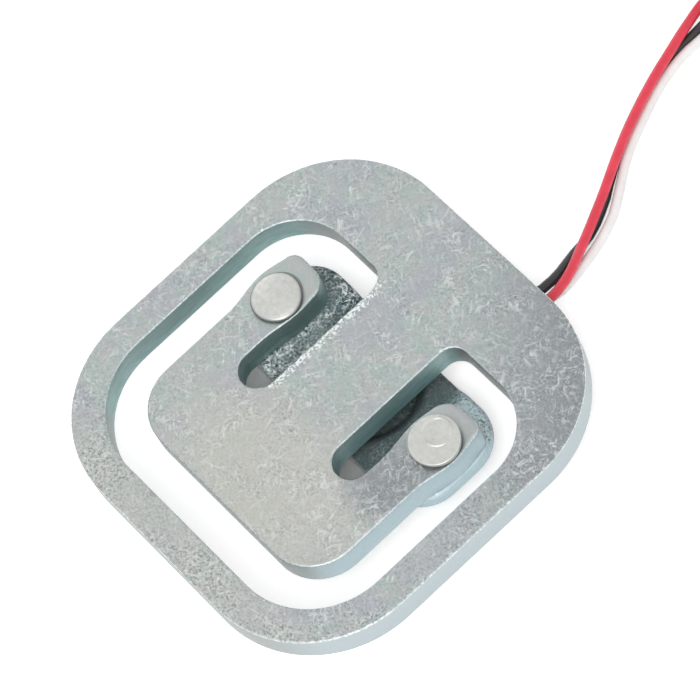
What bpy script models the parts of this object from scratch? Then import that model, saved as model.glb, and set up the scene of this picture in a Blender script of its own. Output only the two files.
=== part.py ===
"""Half-bridge load cell for a floor scale: a stamped steel spring plate with an E-shaped beam, a
pressed bridge plate riveted under its two arms, and a foil strain gauge with three leads.

The plate lies level with the rivet heads up, on the load button of the bridge plate. The origin is
at the centre of the plate's outline, on the surface that the button stands on. +X runs from the
left arm to the right arm, +Y from the tip bar to the root band, and +Z is up. Sizes are in metres.
"""

import math

import bmesh
import bpy
from mathutils import Vector

# Spring plate
PLATE_SIDE = 0.0340
PLATE_THICKNESS = 0.0025
PLATE_CORNER = 0.0099
STAMPED_EDGE = 0.00012
SIDE_BAND = 0.0027
FAR_BAND = 0.0028
ROOT_BAND = 0.0073
OPENING_ROOT_CORNER = 0.0051
OPENING_FAR_CORNER = 0.0071
ROOT_FILLET = 0.0014

# Tongue of beam, slots and arms, which the opening leaves standing
SIDE_GAP = 0.00335
FAR_GAP = 0.0031
ARM_END_GAP = 0.00325
TIP_CORNER = 0.0041
EAR_OUTWARD = 0.00052
EAR_INWARD = 0.00038

# Shares of the tongue's width and of its length
BEAM_SHARE = 0.3653
SLOT_SHARE = 0.1438
TIP_BAR_SHARE = 0.4245
RIVET_SHARE = 0.1880
EAR_REACH_SHARE = 0.2108

# Shares of an arm's width
ARM_OUTER_CORNER_SHARE = 0.263
ARM_INNER_CORNER_SHARE = 0.474
SHANK_SHARE = 0.658
HEAD_SHARE = 1.053
TAIL_SHARE = 0.947

# Rivets
HOLE_CLEARANCE = 0.00005
HEAD_HEIGHT = 0.00068
HEAD_ROUND = 0.00034
TAIL_HEIGHT = 0.00050

# Bridge plate
BRIDGE_THICKNESS = 0.0012
BRIDGE_WIDTH = 0.0094
BRIDGE_OVERHANG = 0.00065
BRIDGE_CORNER = 0.0034
JOGGLE_DEPTH = 0.0010
JOGGLE_RUN = 0.0022
TAIL_TO_BEND = 0.00010
BUTTON_DEPTH = 0.0008
BUTTON_TO_BEND = 0.0011
BUTTON_DRAFT = 0.0006
BUTTON_ROUND = 0.00020

# Plates and rivets are clamped face to face, and bonded layers lie closer still
SEAT = 0.00005
BOND = 0.00002

# Strain gauge
FILM_LENGTH = 0.0110
FILM_TO_BEAM_EDGE = 0.0006
TAB_PAST_BRIDGE = 0.00032
FILM_THICKNESS = 0.00008
FILM_CORNER = 0.0004
FOIL_THICKNESS = 0.00003
FOIL_MARGIN = 0.00035
TRACK_WIDTH = 0.00022
GRID_LINES = 9
GRID_GAP = 0.0011
TAB_LENGTH = 0.0013
TAB_WIDTH = 0.00090

# Leads
LEAD_DIAMETER = 0.0008
LEAD_PITCH = 0.0013
LEAD_UNDER_PLATE = 0.00012
CONDUCTOR_DIAMETER = 0.00042
INNER_END_LENGTH = 0.0016
BARE_END_LENGTH = 0.0035
SOLDER_RADIUS = 0.00055
SOLDER_HEIGHT = 0.00062
SOLDER_INSET = 0.0010
ROUTE_STEP = 0.0020

# Silicone cover
COVER_TO_BEAM_EDGE = 0.0003
COVER_DEPTH = 0.00090
COVER_ROUND = 0.00030
COVER_MARGIN = 0.0009
COVER_CLEARANCE = 0.00006
LUMP_HALF_WIDTH = 0.0039
LUMP_HALF_LENGTH = 0.0025
LUMP_DEPTH = 0.00172
LUMP_OFFSET = 0.0006
LUMP_TO_BRIDGE = 0.00020

# Coil that holds the rest of the leads
COIL_CENTRE = (-0.0106, 0.0512)
COIL_RADIUS = 0.0048
COIL_COLUMNS = 5
COIL_LAYERS = 5
COLUMN_PITCH = 0.00085
LAYER_PITCH = 0.00083
COIL_GAP = 0.00008
COIL_TURNS = 8.45
COIL_CORNER = 0.0004
BAND_THICKNESS = 0.00025
BAND_WIDTH = 0.0016
BAND_ANGLE = 300.0

# Facets
QUARTER_STEPS = 10
TURN_STEPS = 32

# Heights above the surface
BRIDGE_LOW = BUTTON_DEPTH
BRIDGE_RAISED = BRIDGE_LOW + JOGGLE_DEPTH
BRIDGE_TOP = BRIDGE_RAISED + BRIDGE_THICKNESS
PLATE_BOTTOM = BRIDGE_TOP + SEAT
PLATE_TOP = PLATE_BOTTOM + PLATE_THICKNESS

# Places in the plate
HALF_SIDE = PLATE_SIDE / 2
OPENING_HALF = HALF_SIDE - SIDE_BAND
OPENING_FAR = FAR_BAND - HALF_SIDE
OPENING_ROOT = HALF_SIDE - ROOT_BAND
TONGUE_HALF = OPENING_HALF - SIDE_GAP
TONGUE_FAR = OPENING_FAR + FAR_GAP
ARM_END = OPENING_ROOT - ARM_END_GAP
TONGUE_LENGTH = ARM_END - TONGUE_FAR
BEAM_HALF = TONGUE_HALF * BEAM_SHARE
SLOT_RADIUS = TONGUE_HALF * SLOT_SHARE
SLOT_OUTSIDE = BEAM_HALF + 2 * SLOT_RADIUS
SLOT_END = TONGUE_FAR + TONGUE_LENGTH * TIP_BAR_SHARE
SLOT_CENTRE = SLOT_END + SLOT_RADIUS
EAR_REACH = TONGUE_LENGTH * EAR_REACH_SHARE

# Rivets in the arms
ARM_WIDTH = TONGUE_HALF - SLOT_OUTSIDE
ARM_OUTER_CORNER = ARM_WIDTH * ARM_OUTER_CORNER_SHARE
ARM_INNER_CORNER = ARM_WIDTH * ARM_INNER_CORNER_SHARE
SHANK_DIAMETER = ARM_WIDTH * SHANK_SHARE
HEAD_DIAMETER = ARM_WIDTH * HEAD_SHARE
TAIL_DIAMETER = ARM_WIDTH * TAIL_SHARE
RIVET_X = (SLOT_OUTSIDE + TONGUE_HALF) / 2
RIVET_Y = ARM_END - TONGUE_LENGTH * RIVET_SHARE

# Bridge plate under the arms
BRIDGE_HALF = TONGUE_HALF + BRIDGE_OVERHANG
BRIDGE_ROOT_EDGE = RIVET_Y + BRIDGE_WIDTH / 2
BEND_OUTSIDE = RIVET_X - TAIL_DIAMETER / 2 - TAIL_TO_BEND
BEND_INSIDE = BEND_OUTSIDE - JOGGLE_RUN
BUTTON_CROWN_RADIUS = BEND_INSIDE - BUTTON_TO_BEND

# Places of the gauge and the leads
FILM_WIDTH = 2 * (BEAM_HALF - FILM_TO_BEAM_EDGE)
TAB_END = BRIDGE_ROOT_EDGE + TAB_PAST_BRIDGE
GAUGE_Y = TAB_END + FOIL_MARGIN - FILM_LENGTH / 2
FILM_BOTTOM = PLATE_BOTTOM - BOND - FILM_THICKNESS
FOIL_BOTTOM = FILM_BOTTOM - BOND - FOIL_THICKNESS
LEAD_RADIUS = LEAD_DIAMETER / 2
LEAD_HEIGHT = PLATE_BOTTOM - LEAD_UNDER_PLATE - LEAD_RADIUS
LEAD_START = TAB_END - SOLDER_INSET + INNER_END_LENGTH
COLOURS = ("black", "white", "red")
TAB_X = {"black": -LEAD_PITCH, "white": 0.0, "red": LEAD_PITCH}
COIL_COLUMN = {"white": 4, "black": 3, "red": 2}

# Routes of the leads from under the root band to the coil, in the order that they are laid
ROUTES = {
    "black": [
        (-0.00020, 0.01220, 0.00250),
        (0.00160, 0.01390, 0.00250),
        (0.00330, 0.01560, 0.00250),
        (0.00418, 0.01700, 0.00248),
        (0.00425, 0.01820, 0.00230),
        (0.00405, 0.01930, 0.00190),
        (0.00355, 0.02055, 0.00135),
        (0.00310, 0.02175, 0.00085),
        (0.00285, 0.02270, 0.00052),
        (0.00270, 0.02330, 0.00042),
        (0.00232, 0.02442, 0.00040),
        (0.00190, 0.02542, 0.00040),
        (0.00134, 0.02652, 0.00040),
        (0.00065, 0.02760, 0.00040),
        (-0.00014, 0.02885, 0.00040),
        (-0.00088, 0.03005, 0.00040),
        (-0.00168, 0.03164, 0.00040),
        (-0.00237, 0.03322, 0.00040),
        (-0.00304, 0.03493, 0.00040),
        (-0.00358, 0.03652, 0.00040),
        (-0.00394, 0.03844, 0.00040),
        (-0.00402, 0.04026, 0.00040),
        (-0.00406, 0.04138, 0.00040),
        (-0.00420, 0.04280, 0.00040),
        (-0.00450, 0.04460, 0.00040),
    ],
    "white": [
        (0.00128, 0.01220, 0.00250),
        (0.00290, 0.01375, 0.00235),
        (0.00405, 0.01530, 0.00200),
        (0.00470, 0.01690, 0.00172),
        (0.00498, 0.01835, 0.00150),
        (0.00480, 0.01966, 0.00115),
        (0.00437, 0.02111, 0.00075),
        (0.00400, 0.02244, 0.00048),
        (0.00360, 0.02384, 0.00040),
        (0.00318, 0.02496, 0.00040),
        (0.00267, 0.02608, 0.00040),
        (0.00200, 0.02721, 0.00040),
        (0.00119, 0.02846, 0.00040),
        (0.00037, 0.02971, 0.00040),
        (-0.00040, 0.03107, 0.00040),
        (-0.00108, 0.03254, 0.00040),
        (-0.00176, 0.03413, 0.00040),
        (-0.00236, 0.03572, 0.00040),
        (-0.00281, 0.03730, 0.00040),
        (-0.00310, 0.03916, 0.00040),
        (-0.00314, 0.04066, 0.00040),
        (-0.00320, 0.04200, 0.00040),
        (-0.00340, 0.04360, 0.00040),
        (-0.00372, 0.04560, 0.00040),
    ],
    "red": [
        (0.00275, 0.01220, 0.00250),
        (0.00405, 0.01360, 0.00250),
        (0.00495, 0.01520, 0.00250),
        (0.00530, 0.01670, 0.00250),
        (0.00536, 0.01783, 0.00248),
        (0.00511, 0.01906, 0.00232),
        (0.00461, 0.02026, 0.00205),
        (0.00399, 0.02137, 0.00175),
        (0.00339, 0.02236, 0.00148),
        (0.00279, 0.02351, 0.00132),
        (0.00218, 0.02468, 0.00128),
        (0.00159, 0.02586, 0.00128),
        (0.00093, 0.02710, 0.00128),
        (0.00020, 0.02840, 0.00128),
        (-0.00059, 0.02987, 0.00128),
        (-0.00133, 0.03140, 0.00128),
        (-0.00201, 0.03298, 0.00128),
        (-0.00270, 0.03469, 0.00127),
        (-0.00328, 0.03631, 0.00126),
        (-0.00379, 0.03802, 0.00125),
        (-0.00434, 0.03974, 0.00119),
        (-0.00499, 0.04147, 0.00078),
        (-0.00546, 0.04283, 0.00046),
        (-0.00564, 0.04420, 0.00040),
    ],
}


def clear_scene():
    for old in list(bpy.data.objects):
        bpy.data.objects.remove(old)


def new_collection(name):
    made = bpy.data.collections.new(name)
    bpy.context.scene.collection.children.link(made)
    return made


def material(name, colour, roughness, metallic=0.0):
    made = bpy.data.materials.new(name)
    made.use_nodes = True
    shader = made.node_tree.nodes["Principled BSDF"]
    shader.inputs["Base Color"].default_value = (*colour, 1.0)
    shader.inputs["Roughness"].default_value = roughness
    shader.inputs["Metallic"].default_value = metallic
    return made


def add(name, data, finish, location=(0.0, 0.0, 0.0)):
    made = bpy.data.objects.new(name, data)
    made.location = location
    PARTS.objects.link(made)
    if finish:
        made.data.materials.append(finish)
    return made


def as_cutter(obj):
    """Moves a helper shape out of the parts, so that it only cuts or joins."""
    PARTS.objects.unlink(obj)
    CUTTERS.objects.link(obj)
    obj.hide_render = True
    obj.display_type = "WIRE"
    return obj


def arc(centre, radius, start, end, steps=QUARTER_STEPS):
    """Points of an arc from start to end degrees, with both ends."""
    angles = [math.radians(start + (end - start) * i / steps) for i in range(steps + 1)]
    return [(centre[0] + radius * math.cos(a), centre[1] + radius * math.sin(a)) for a in angles]


def rounded_rectangle(low_x, high_x, low_y, high_y, corner, steps=QUARTER_STEPS):
    return [
        *arc((high_x - corner, high_y - corner), corner, 0, 90, steps),
        *arc((low_x + corner, high_y - corner), corner, 90, 180, steps),
        *arc((low_x + corner, low_y + corner), corner, 180, 270, steps),
        *arc((high_x - corner, low_y + corner), corner, 270, 360, steps),
    ]


def flat_piece(name, outlines, low, high, finish, edge=0.0):
    """A flat piece from closed outlines: the first is its edge and the others are its holes."""
    curve = bpy.data.curves.new(name, "CURVE")
    curve.dimensions = "2D"
    curve.fill_mode = "BOTH"
    curve.extrude = (high - low) / 2 - edge
    curve.bevel_depth = edge
    curve.bevel_resolution = 0
    curve.offset = -edge
    for points in outlines:
        spline = curve.splines.new("POLY")
        spline.points.add(len(points) - 1)
        for point, place in zip(spline.points, points, strict=True):
            point.co = (*place, 0.0, 1.0)
        spline.use_cyclic_u = True
    return add(name, curve, finish, (0.0, 0.0, (low + high) / 2))


def tube(name, points, diameter, finish):
    curve = bpy.data.curves.new(name, "CURVE")
    curve.dimensions = "3D"
    curve.bevel_depth = diameter / 2
    curve.bevel_resolution = 2
    curve.use_fill_caps = True
    spline = curve.splines.new("POLY")
    spline.points.add(len(points) - 1)
    for point, place in zip(spline.points, points, strict=True):
        point.co = (*place, 1.0)
    return add(name, curve, finish)


def as_mesh(obj):
    """Turns a curve object into a mesh object of the same name, with its caps welded on."""
    bpy.context.view_layer.update()
    graph = bpy.context.evaluated_depsgraph_get()
    mesh = bpy.data.meshes.new_from_object(obj.evaluated_get(graph))
    weld(mesh)
    name, place, finish = obj.name, obj.matrix_world.copy(), obj.data.materials[:]
    bpy.data.objects.remove(obj)
    made = add(name, mesh, None)
    made.matrix_world = place
    mesh.materials.clear()
    for one in finish:
        mesh.materials.append(one)
    return made


def weld(mesh):
    shape = bmesh.new()
    shape.from_mesh(mesh)
    bmesh.ops.remove_doubles(shape, verts=shape.verts, dist=1e-7)
    bmesh.ops.recalc_face_normals(shape, faces=shape.faces)
    shape.to_mesh(mesh)
    shape.free()


def turned(name, profile, finish, location, steps=TURN_STEPS):
    """A turned piece from (radius, height) points that run down its outer side."""
    mesh = bpy.data.meshes.new(name)
    links = [(i, i + 1) for i in range(len(profile) - 1)]
    mesh.from_pydata([(radius, 0.0, height) for radius, height in profile], links, [])
    made = add(name, mesh, finish, location)
    screw = made.modifiers.new("turn", "SCREW")
    screw.steps = screw.render_steps = steps
    screw.use_merge_vertices = True
    screw.merge_threshold = 1e-6
    return made


def boolean(obj, other, operation):
    cut = obj.modifiers.new(other.name, "BOOLEAN")
    cut.operation = operation
    cut.object = other
    cut.solver = "EXACT"


def block(name, low, high):
    """A box between two corners, as a cutter."""
    bpy.ops.mesh.primitive_cube_add(size=1.0)
    made = bpy.context.active_object
    made.name = name
    made.location = (Vector(low) + Vector(high)) / 2
    made.scale = Vector(high) - Vector(low)
    for home in list(made.users_collection):
        home.objects.unlink(made)
    PARTS.objects.link(made)
    return as_cutter(made)


def rod(name, radius, x, y, low, high, steps=TURN_STEPS):
    """An upright round cutter."""
    profile = [(0.0, high), (radius, high), (radius, low), (0.0, low)]
    return as_cutter(turned(name, profile, None, (x, y, 0.0), steps))


def smooth_route(points, step):
    """Points a step apart along the Catmull-Rom curve through a route's own points."""
    places = [Vector(p) for p in points]
    before, after = 2 * places[0] - places[1], 2 * places[-1] - places[-2]
    padded = [before, *places, after]
    fine = []
    for a, b, c, d in zip(padded, padded[1:], padded[2:], padded[3:]):
        for i in range(24):
            t = i / 24
            bend = (2 * a - 5 * b + 4 * c - d) * t * t + (3 * b - a - 3 * c + d) * t**3
            fine.append((2 * b + (c - a) * t + bend) / 2)
    fine.append(places[-1])
    lengths = [0.0]
    for a, b in zip(fine, fine[1:]):
        lengths.append(lengths[-1] + (b - a).length)
    count = max(2, round(lengths[-1] / step))
    chosen, at = [], 0
    for i in range(count + 1):
        goal = lengths[-1] * i / count
        while at < len(lengths) - 2 and lengths[at + 1] < goal:
            at += 1
        share = (goal - lengths[at]) / (lengths[at + 1] - lengths[at])
        chosen.append(fine[at].lerp(fine[at + 1], min(max(share, 0.0), 1.0)))
    return chosen


def ear(y):
    """How far an arm's edge is spread at y by the pressing of its rivet, from 0 to 1."""
    away = (y - RIVET_Y) / EAR_REACH
    return math.cos(away * math.pi / 2) ** 2 if abs(away) < 1 else 0.0


def ear_edge(x, spread, start, end, steps=QUARTER_STEPS):
    ys = [start + (end - start) * i / steps for i in range(steps + 1)]
    return [(x + spread * ear(y), y) for y in ys]


def half_opening():
    """The right half of the opening's outline, from the far edge's middle round to the tip bar's middle."""
    ear_foot = RIVET_Y - EAR_REACH
    arm_inside = SLOT_OUTSIDE - EAR_INWARD * ear(ARM_END - ARM_INNER_CORNER)
    arm_outside = TONGUE_HALF + EAR_OUTWARD * ear(ARM_END - ARM_OUTER_CORNER)
    far, root = OPENING_FAR_CORNER, OPENING_ROOT_CORNER
    return [
        (0.0, OPENING_FAR),
        *arc((OPENING_HALF - far, OPENING_FAR + far), far, -90, 0),
        *arc((OPENING_HALF - root, OPENING_ROOT - root), root, 0, 90),
        *arc((BEAM_HALF + ROOT_FILLET, OPENING_ROOT - ROOT_FILLET), ROOT_FILLET, 90, 180),
        *arc((BEAM_HALF + SLOT_RADIUS, SLOT_CENTRE), SLOT_RADIUS, 180, 360, 2 * QUARTER_STEPS),
        *ear_edge(SLOT_OUTSIDE, -EAR_INWARD, ear_foot, ARM_END - ARM_INNER_CORNER)[:-1],
        *arc((arm_inside + ARM_INNER_CORNER, ARM_END - ARM_INNER_CORNER), ARM_INNER_CORNER, 180, 90),
        *arc((arm_outside - ARM_OUTER_CORNER, ARM_END - ARM_OUTER_CORNER), ARM_OUTER_CORNER, 90, 0),
        *ear_edge(TONGUE_HALF, EAR_OUTWARD, ARM_END - ARM_OUTER_CORNER, ear_foot)[1:],
        *arc((TONGUE_HALF - TIP_CORNER, TONGUE_FAR + TIP_CORNER), TIP_CORNER, 0, -90),
        (0.0, TONGUE_FAR),
    ]


def spring_plate(finish):
    right = half_opening()
    left = [(-x, y) for x, y in reversed(right[1:-1])]
    outline = rounded_rectangle(-HALF_SIDE, HALF_SIDE, -HALF_SIDE, HALF_SIDE, PLATE_CORNER)
    hole = SHANK_DIAMETER / 2 + HOLE_CLEARANCE
    holes = [arc((x, RIVET_Y), hole, 0, 360, TURN_STEPS)[:-1] for x in (-RIVET_X, RIVET_X)]
    outlines = [outline, right + left, *holes]
    return flat_piece("spring_plate", outlines, PLATE_BOTTOM, PLATE_TOP, finish, STAMPED_EDGE)


def hat_height(x):
    """Height of the bridge plate's middle surface at x: raised ears, a bend, and the lowered middle."""
    share = (abs(x) - BEND_INSIDE) / JOGGLE_RUN
    share = min(max(share, 0.0), 1.0)
    return BRIDGE_LOW + BRIDGE_THICKNESS / 2 + JOGGLE_DEPTH * (1 - math.cos(math.pi * share)) / 2


def hat_profile():
    """The closed side view of the hat, as a sheet of even thickness along the bent line."""
    reach = BRIDGE_HALF + BRIDGE_THICKNESS
    bend = [BEND_INSIDE + JOGGLE_RUN * i / QUARTER_STEPS for i in range(QUARTER_STEPS + 1)]
    stations = [-reach, *[-x for x in reversed(bend)], *bend, reach]
    top, bottom = [], []
    for x in stations:
        near = BRIDGE_THICKNESS / 100
        slope = (hat_height(x + near) - hat_height(x - near)) / (2 * near)
        across = Vector((-slope, 1.0)).normalized() * BRIDGE_THICKNESS / 2
        top.append((x + across.x, hat_height(x) + across.y))
        bottom.append((x - across.x, hat_height(x) - across.y))
    return top + bottom[::-1]


def button_profile(radius, low, high):
    shoulder = (radius + BUTTON_ROUND / 2, low + BUTTON_ROUND)
    return [(0.0, high), (radius + BUTTON_DRAFT, high), shoulder, (radius - BUTTON_ROUND, low), (0.0, low)]


def bridge_plate(finish):
    half = BRIDGE_WIDTH / 2
    hat = flat_piece("bridge_plate", [hat_profile()], -half - SEAT, half + SEAT, finish)
    hat.rotation_euler = (math.pi / 2, 0.0, 0.0)
    hat.location = (0.0, RIVET_Y, 0.0)
    hat = as_mesh(hat)
    edge = rounded_rectangle(-BRIDGE_HALF, BRIDGE_HALF, RIVET_Y - half, RIVET_Y + half, BRIDGE_CORNER)
    outline = flat_piece("bridge_outline", [edge], -PLATE_TOP, 2 * PLATE_TOP, None)
    boolean(hat, as_cutter(as_mesh(outline)), "INTERSECT")
    inner = BRIDGE_LOW + BRIDGE_THICKNESS / 2
    boss = button_profile(BUTTON_CROWN_RADIUS, 0.0, inner)
    boolean(hat, as_cutter(turned("button_boss", boss, None, (0.0, RIVET_Y, 0.0))), "UNION")
    dish_radius = BUTTON_CROWN_RADIUS - BRIDGE_THICKNESS / 2
    dish = button_profile(dish_radius, BRIDGE_THICKNESS, BRIDGE_LOW + 2 * BRIDGE_THICKNESS)
    boolean(hat, as_cutter(turned("button_dish", dish, None, (0.0, RIVET_Y, 0.0))), "DIFFERENCE")
    radius = SHANK_DIAMETER / 2 + HOLE_CLEARANCE
    for side, x in (("left", -RIVET_X), ("right", RIVET_X)):
        boolean(hat, rod(f"bridge_hole_{side}", radius, x, RIVET_Y, 0.0, PLATE_TOP), "DIFFERENCE")
    return hat


def rivet_profile():
    head, tail, shank = HEAD_DIAMETER / 2, TAIL_DIAMETER / 2, SHANK_DIAMETER / 2
    seat, top = PLATE_TOP + SEAT, PLATE_TOP + SEAT + HEAD_HEIGHT
    low_seat = BRIDGE_RAISED - SEAT
    crown = [
        (head - HEAD_ROUND + HEAD_ROUND * math.sin(a), top - HEAD_ROUND + HEAD_ROUND * math.cos(a))
        for a in [math.radians(15 * i) for i in range(7)]
    ]
    foot = [
        (tail - TAIL_HEIGHT * (1 - math.cos(a)), low_seat - TAIL_HEIGHT * math.sin(a))
        for a in [math.radians(18 * i) for i in range(6)]
    ]
    neck = [(head, seat), (shank, seat), (shank, low_seat)]
    return [(0.0, top + HEAD_ROUND / 8), *crown, *neck, *foot, (0.0, foot[-1][1])]


def rivet(side, x, finish):
    return turned(f"rivet_{side}", rivet_profile(), finish, (x, RIVET_Y, 0.0))


def ribbon(path, width):
    """The outline of a track of even width along a path of right-angled turns."""
    places = [Vector(p) for p in path]
    left, right = [], []
    for i, place in enumerate(places):
        before = (place - places[i - 1]).normalized() if i else None
        after = (places[i + 1] - place).normalized() if i < len(places) - 1 else None
        first, second = before or after, after or before
        away = Vector((-first.y - second.y, first.x + second.x)) / (1 + first.dot(second))
        left.append(tuple(place + away * width / 2))
        right.append(tuple(place - away * width / 2))
    return left + right[::-1]


def grid_path(low_x, high_x, low_y, high_y):
    """A grid's back-and-forth path, from its first line's low end to its last line's high end."""
    path = []
    for line in range(GRID_LINES):
        x = low_x + (high_x - low_x) * line / (GRID_LINES - 1)
        ends = (low_y, high_y) if line % 2 == 0 else (high_y, low_y)
        path += [(x, ends[0]), (x, ends[1])]
    return path


def gauge_foil(finish):
    """Two grids in line along the beam, joined at the shared tab, and a tab at each free end."""
    side = FILM_WIDTH / 2 - FOIL_MARGIN - TRACK_WIDTH / 2
    inside = side - 2.5 * TRACK_WIDTH
    tab_low = TAB_END - TAB_LENGTH
    turn = tab_low + TAB_WIDTH / 2
    far_low = GAUGE_Y - FILM_LENGTH / 2 + FOIL_MARGIN + TRACK_WIDTH / 2
    near_high = tab_low - 4 * TRACK_WIDTH
    grid_length = (near_high - far_low - GRID_GAP) / 2
    far_high = far_low + grid_length
    near_low = far_high + GRID_GAP
    shared = (far_high + near_low) / 2
    outer = [(-LEAD_PITCH, turn), (-side, turn), (-side, far_low)]
    outer += grid_path(-inside, inside, far_low, far_high)
    outer += [(inside, shared), (side, shared), (side, turn), (LEAD_PITCH, turn)]
    inner = [(side, shared + TRACK_WIDTH / 2), (side, near_low)]
    inner += grid_path(inside, -inside, near_low, near_high)
    inner += [(-inside, tab_low - 2 * TRACK_WIDTH), (0.0, tab_low - 2 * TRACK_WIDTH), (0.0, turn)]
    levels = (FOIL_BOTTOM, FOIL_BOTTOM + FOIL_THICKNESS)
    foil = as_mesh(flat_piece("gauge_foil", [ribbon(outer, TRACK_WIDTH)], *levels, finish))
    branch = flat_piece("foil_branch", [ribbon(inner, TRACK_WIDTH)], *levels, None)
    boolean(foil, as_cutter(as_mesh(branch)), "UNION")
    for colour, x in TAB_X.items():
        low = (x - TAB_WIDTH / 2, tab_low, levels[0])
        high = (x + TAB_WIDTH / 2, TAB_END, levels[1])
        boolean(foil, block(f"foil_tab_{colour}", low, high), "UNION")
    return foil


def gauge_film(finish):
    low, high = GAUGE_Y - FILM_LENGTH / 2, GAUGE_Y + FILM_LENGTH / 2
    edge = rounded_rectangle(-FILM_WIDTH / 2, FILM_WIDTH / 2, low, high, FILM_CORNER, 4)
    return flat_piece("gauge_film", [edge], FILM_BOTTOM, FILM_BOTTOM + FILM_THICKNESS, finish)


def inner_end(colour, finish):
    """The tinned end of a lead, from inside its solder joint to the lead's insulation."""
    start = TAB_END - SOLDER_INSET
    points = [(TAB_X[colour], start, LEAD_HEIGHT), (TAB_X[colour], LEAD_START - SEAT, LEAD_HEIGHT)]
    return tube(f"inner_end_{colour}", points, CONDUCTOR_DIAMETER, finish)


def solder_joint(colour, finish):
    """A drop of solder under a tab, round the end of the conductor."""
    top = FOIL_BOTTOM - BOND
    drop = [
        (SOLDER_RADIUS * math.cos(a), top - SOLDER_HEIGHT * math.sin(a))
        for a in [math.radians(15 * i) for i in range(7)]
    ]
    place = (TAB_X[colour], TAB_END - TAB_LENGTH / 2, 0.0)
    joint = turned(f"solder_joint_{colour}", [(0.0, top), *drop[:-1], (0.0, drop[-1][1])], finish, place, 20)
    start, end = TAB_END - SOLDER_INSET - BOND, TAB_END + 2 * SOLDER_RADIUS
    points = [(TAB_X[colour], start, LEAD_HEIGHT), (TAB_X[colour], end, LEAD_HEIGHT)]
    seat = tube(f"solder_bore_{colour}", points, CONDUCTOR_DIAMETER + 2 * BOND, None)
    boolean(joint, as_cutter(as_mesh(seat)), "DIFFERENCE")
    return joint


def route(colour):
    """A lead's points from its solder joint to where it meets the coil."""
    start = (TAB_X[colour], LEAD_START, LEAD_HEIGHT)
    straight = (TAB_X[colour], LEAD_START + 1.2 * LEAD_DIAMETER, LEAD_HEIGHT)
    x = COIL_CENTRE[0] + coil_column_radius(COIL_COLUMN[colour])
    inner_side = x - COIL_CENTRE[0] - LEAD_RADIUS
    coil_outside = coil_column_radius(COIL_COLUMNS - 1) + LEAD_RADIUS + COIL_GAP
    end = COIL_CENTRE[1] - math.sqrt(coil_outside**2 - inner_side**2) - COIL_GAP
    return [start, straight, *ROUTES[colour], (x, end, LEAD_RADIUS)]


def lead(colour, finish):
    return tube(f"lead_{colour}", smooth_route(route(colour), ROUTE_STEP), LEAD_DIAMETER, finish)


def coil_column_radius(column):
    return COIL_RADIUS + (column - (COIL_COLUMNS - 1) / 2) * COLUMN_PITCH


def coil_layer_height(layer):
    return LEAD_RADIUS + layer * LAYER_PITCH


def lead_coil(finish):
    inside = coil_column_radius(0) - LEAD_RADIUS
    outside = coil_column_radius(COIL_COLUMNS - 1) + LEAD_RADIUS
    top = coil_layer_height(COIL_LAYERS - 1) + LEAD_RADIUS
    loop = rounded_rectangle(inside, outside, 0.0, top, COIL_CORNER, 3)[::-1]
    ring = turned("lead_coil", [*loop, loop[0]], finish, (*COIL_CENTRE, 0.0), 48)
    notch = BAND_THICKNESS + COIL_GAP
    reach = outside + COIL_GAP
    side = BAND_WIDTH / 2 + COIL_GAP
    low, high = (0.0, -side, -notch), (reach, side, notch)
    cutter = block("coil_notch", low, high)
    turn = math.radians(BAND_ANGLE)
    middle = (reach / 2 * math.cos(turn), reach / 2 * math.sin(turn))
    cutter.location = (COIL_CENTRE[0] + middle[0], COIL_CENTRE[1] + middle[1], 0.0)
    cutter.rotation_euler = (0.0, 0.0, turn)
    boolean(ring, cutter, "DIFFERENCE")
    return ring


def coil_band(finish):
    """The band round the coil's section, with room for the last layer of turns."""
    half = BAND_WIDTH / 2
    hole = coil_column_radius(0) - LEAD_RADIUS
    inside = math.sqrt(hole**2 - half**2) - COIL_GAP
    outside = coil_column_radius(COIL_COLUMNS - 1) + LEAD_RADIUS + COIL_GAP
    top = coil_layer_height(COIL_LAYERS) + LEAD_RADIUS + BAND_THICKNESS + COIL_GAP
    inner = rounded_rectangle(inside, outside, BAND_THICKNESS, top, COIL_CORNER, 4)
    grow = BAND_THICKNESS
    outer = rounded_rectangle(inside - grow, outside + grow, 0.0, top + grow, COIL_CORNER + grow, 4)
    band = flat_piece("coil_band", [outer, inner], -half, half, finish)
    band.rotation_euler = (math.pi / 2, 0.0, math.radians(BAND_ANGLE))
    band.location = (*COIL_CENTRE, 0.0)
    return band


def coil_place(start_slot, turns):
    """Where a lead's middle is after some turns: it passes to the next slot three times a turn."""
    slot = start_slot + len(COLOURS) * turns
    layer, along = divmod(slot, COIL_COLUMNS)
    along -= 0.5
    inward = int(layer) % 2 == 0
    column = COIL_COLUMNS - 1 - (along + 0.5) if inward else along + 0.5
    column = min(max(column, 0.0), COIL_COLUMNS - 1)
    angle = 2 * math.pi * turns
    radius = coil_column_radius(column)
    return (
        COIL_CENTRE[0] + radius * math.cos(angle),
        COIL_CENTRE[1] + radius * math.sin(angle),
        coil_layer_height(int(layer)),
    )


def bare_end(colour, finish):
    """The stripped and tinned free end of a lead, which lies on the coil along its last turn."""
    start_slot = COIL_COLUMNS - 1 - COIL_COLUMN[colour]
    radius = math.dist(coil_place(start_slot, COIL_TURNS)[:2], COIL_CENTRE)
    sweep = BARE_END_LENGTH / radius / (2 * math.pi)
    height = coil_layer_height(COIL_LAYERS)
    points = []
    for i in range(5):
        angle = 2 * math.pi * (COIL_TURNS + sweep * i / 4)
        points.append(
            (COIL_CENTRE[0] + radius * math.cos(angle), COIL_CENTRE[1] + radius * math.sin(angle), height)
        )
    return tube(f"bare_end_{colour}", points, CONDUCTOR_DIAMETER, finish)


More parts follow.
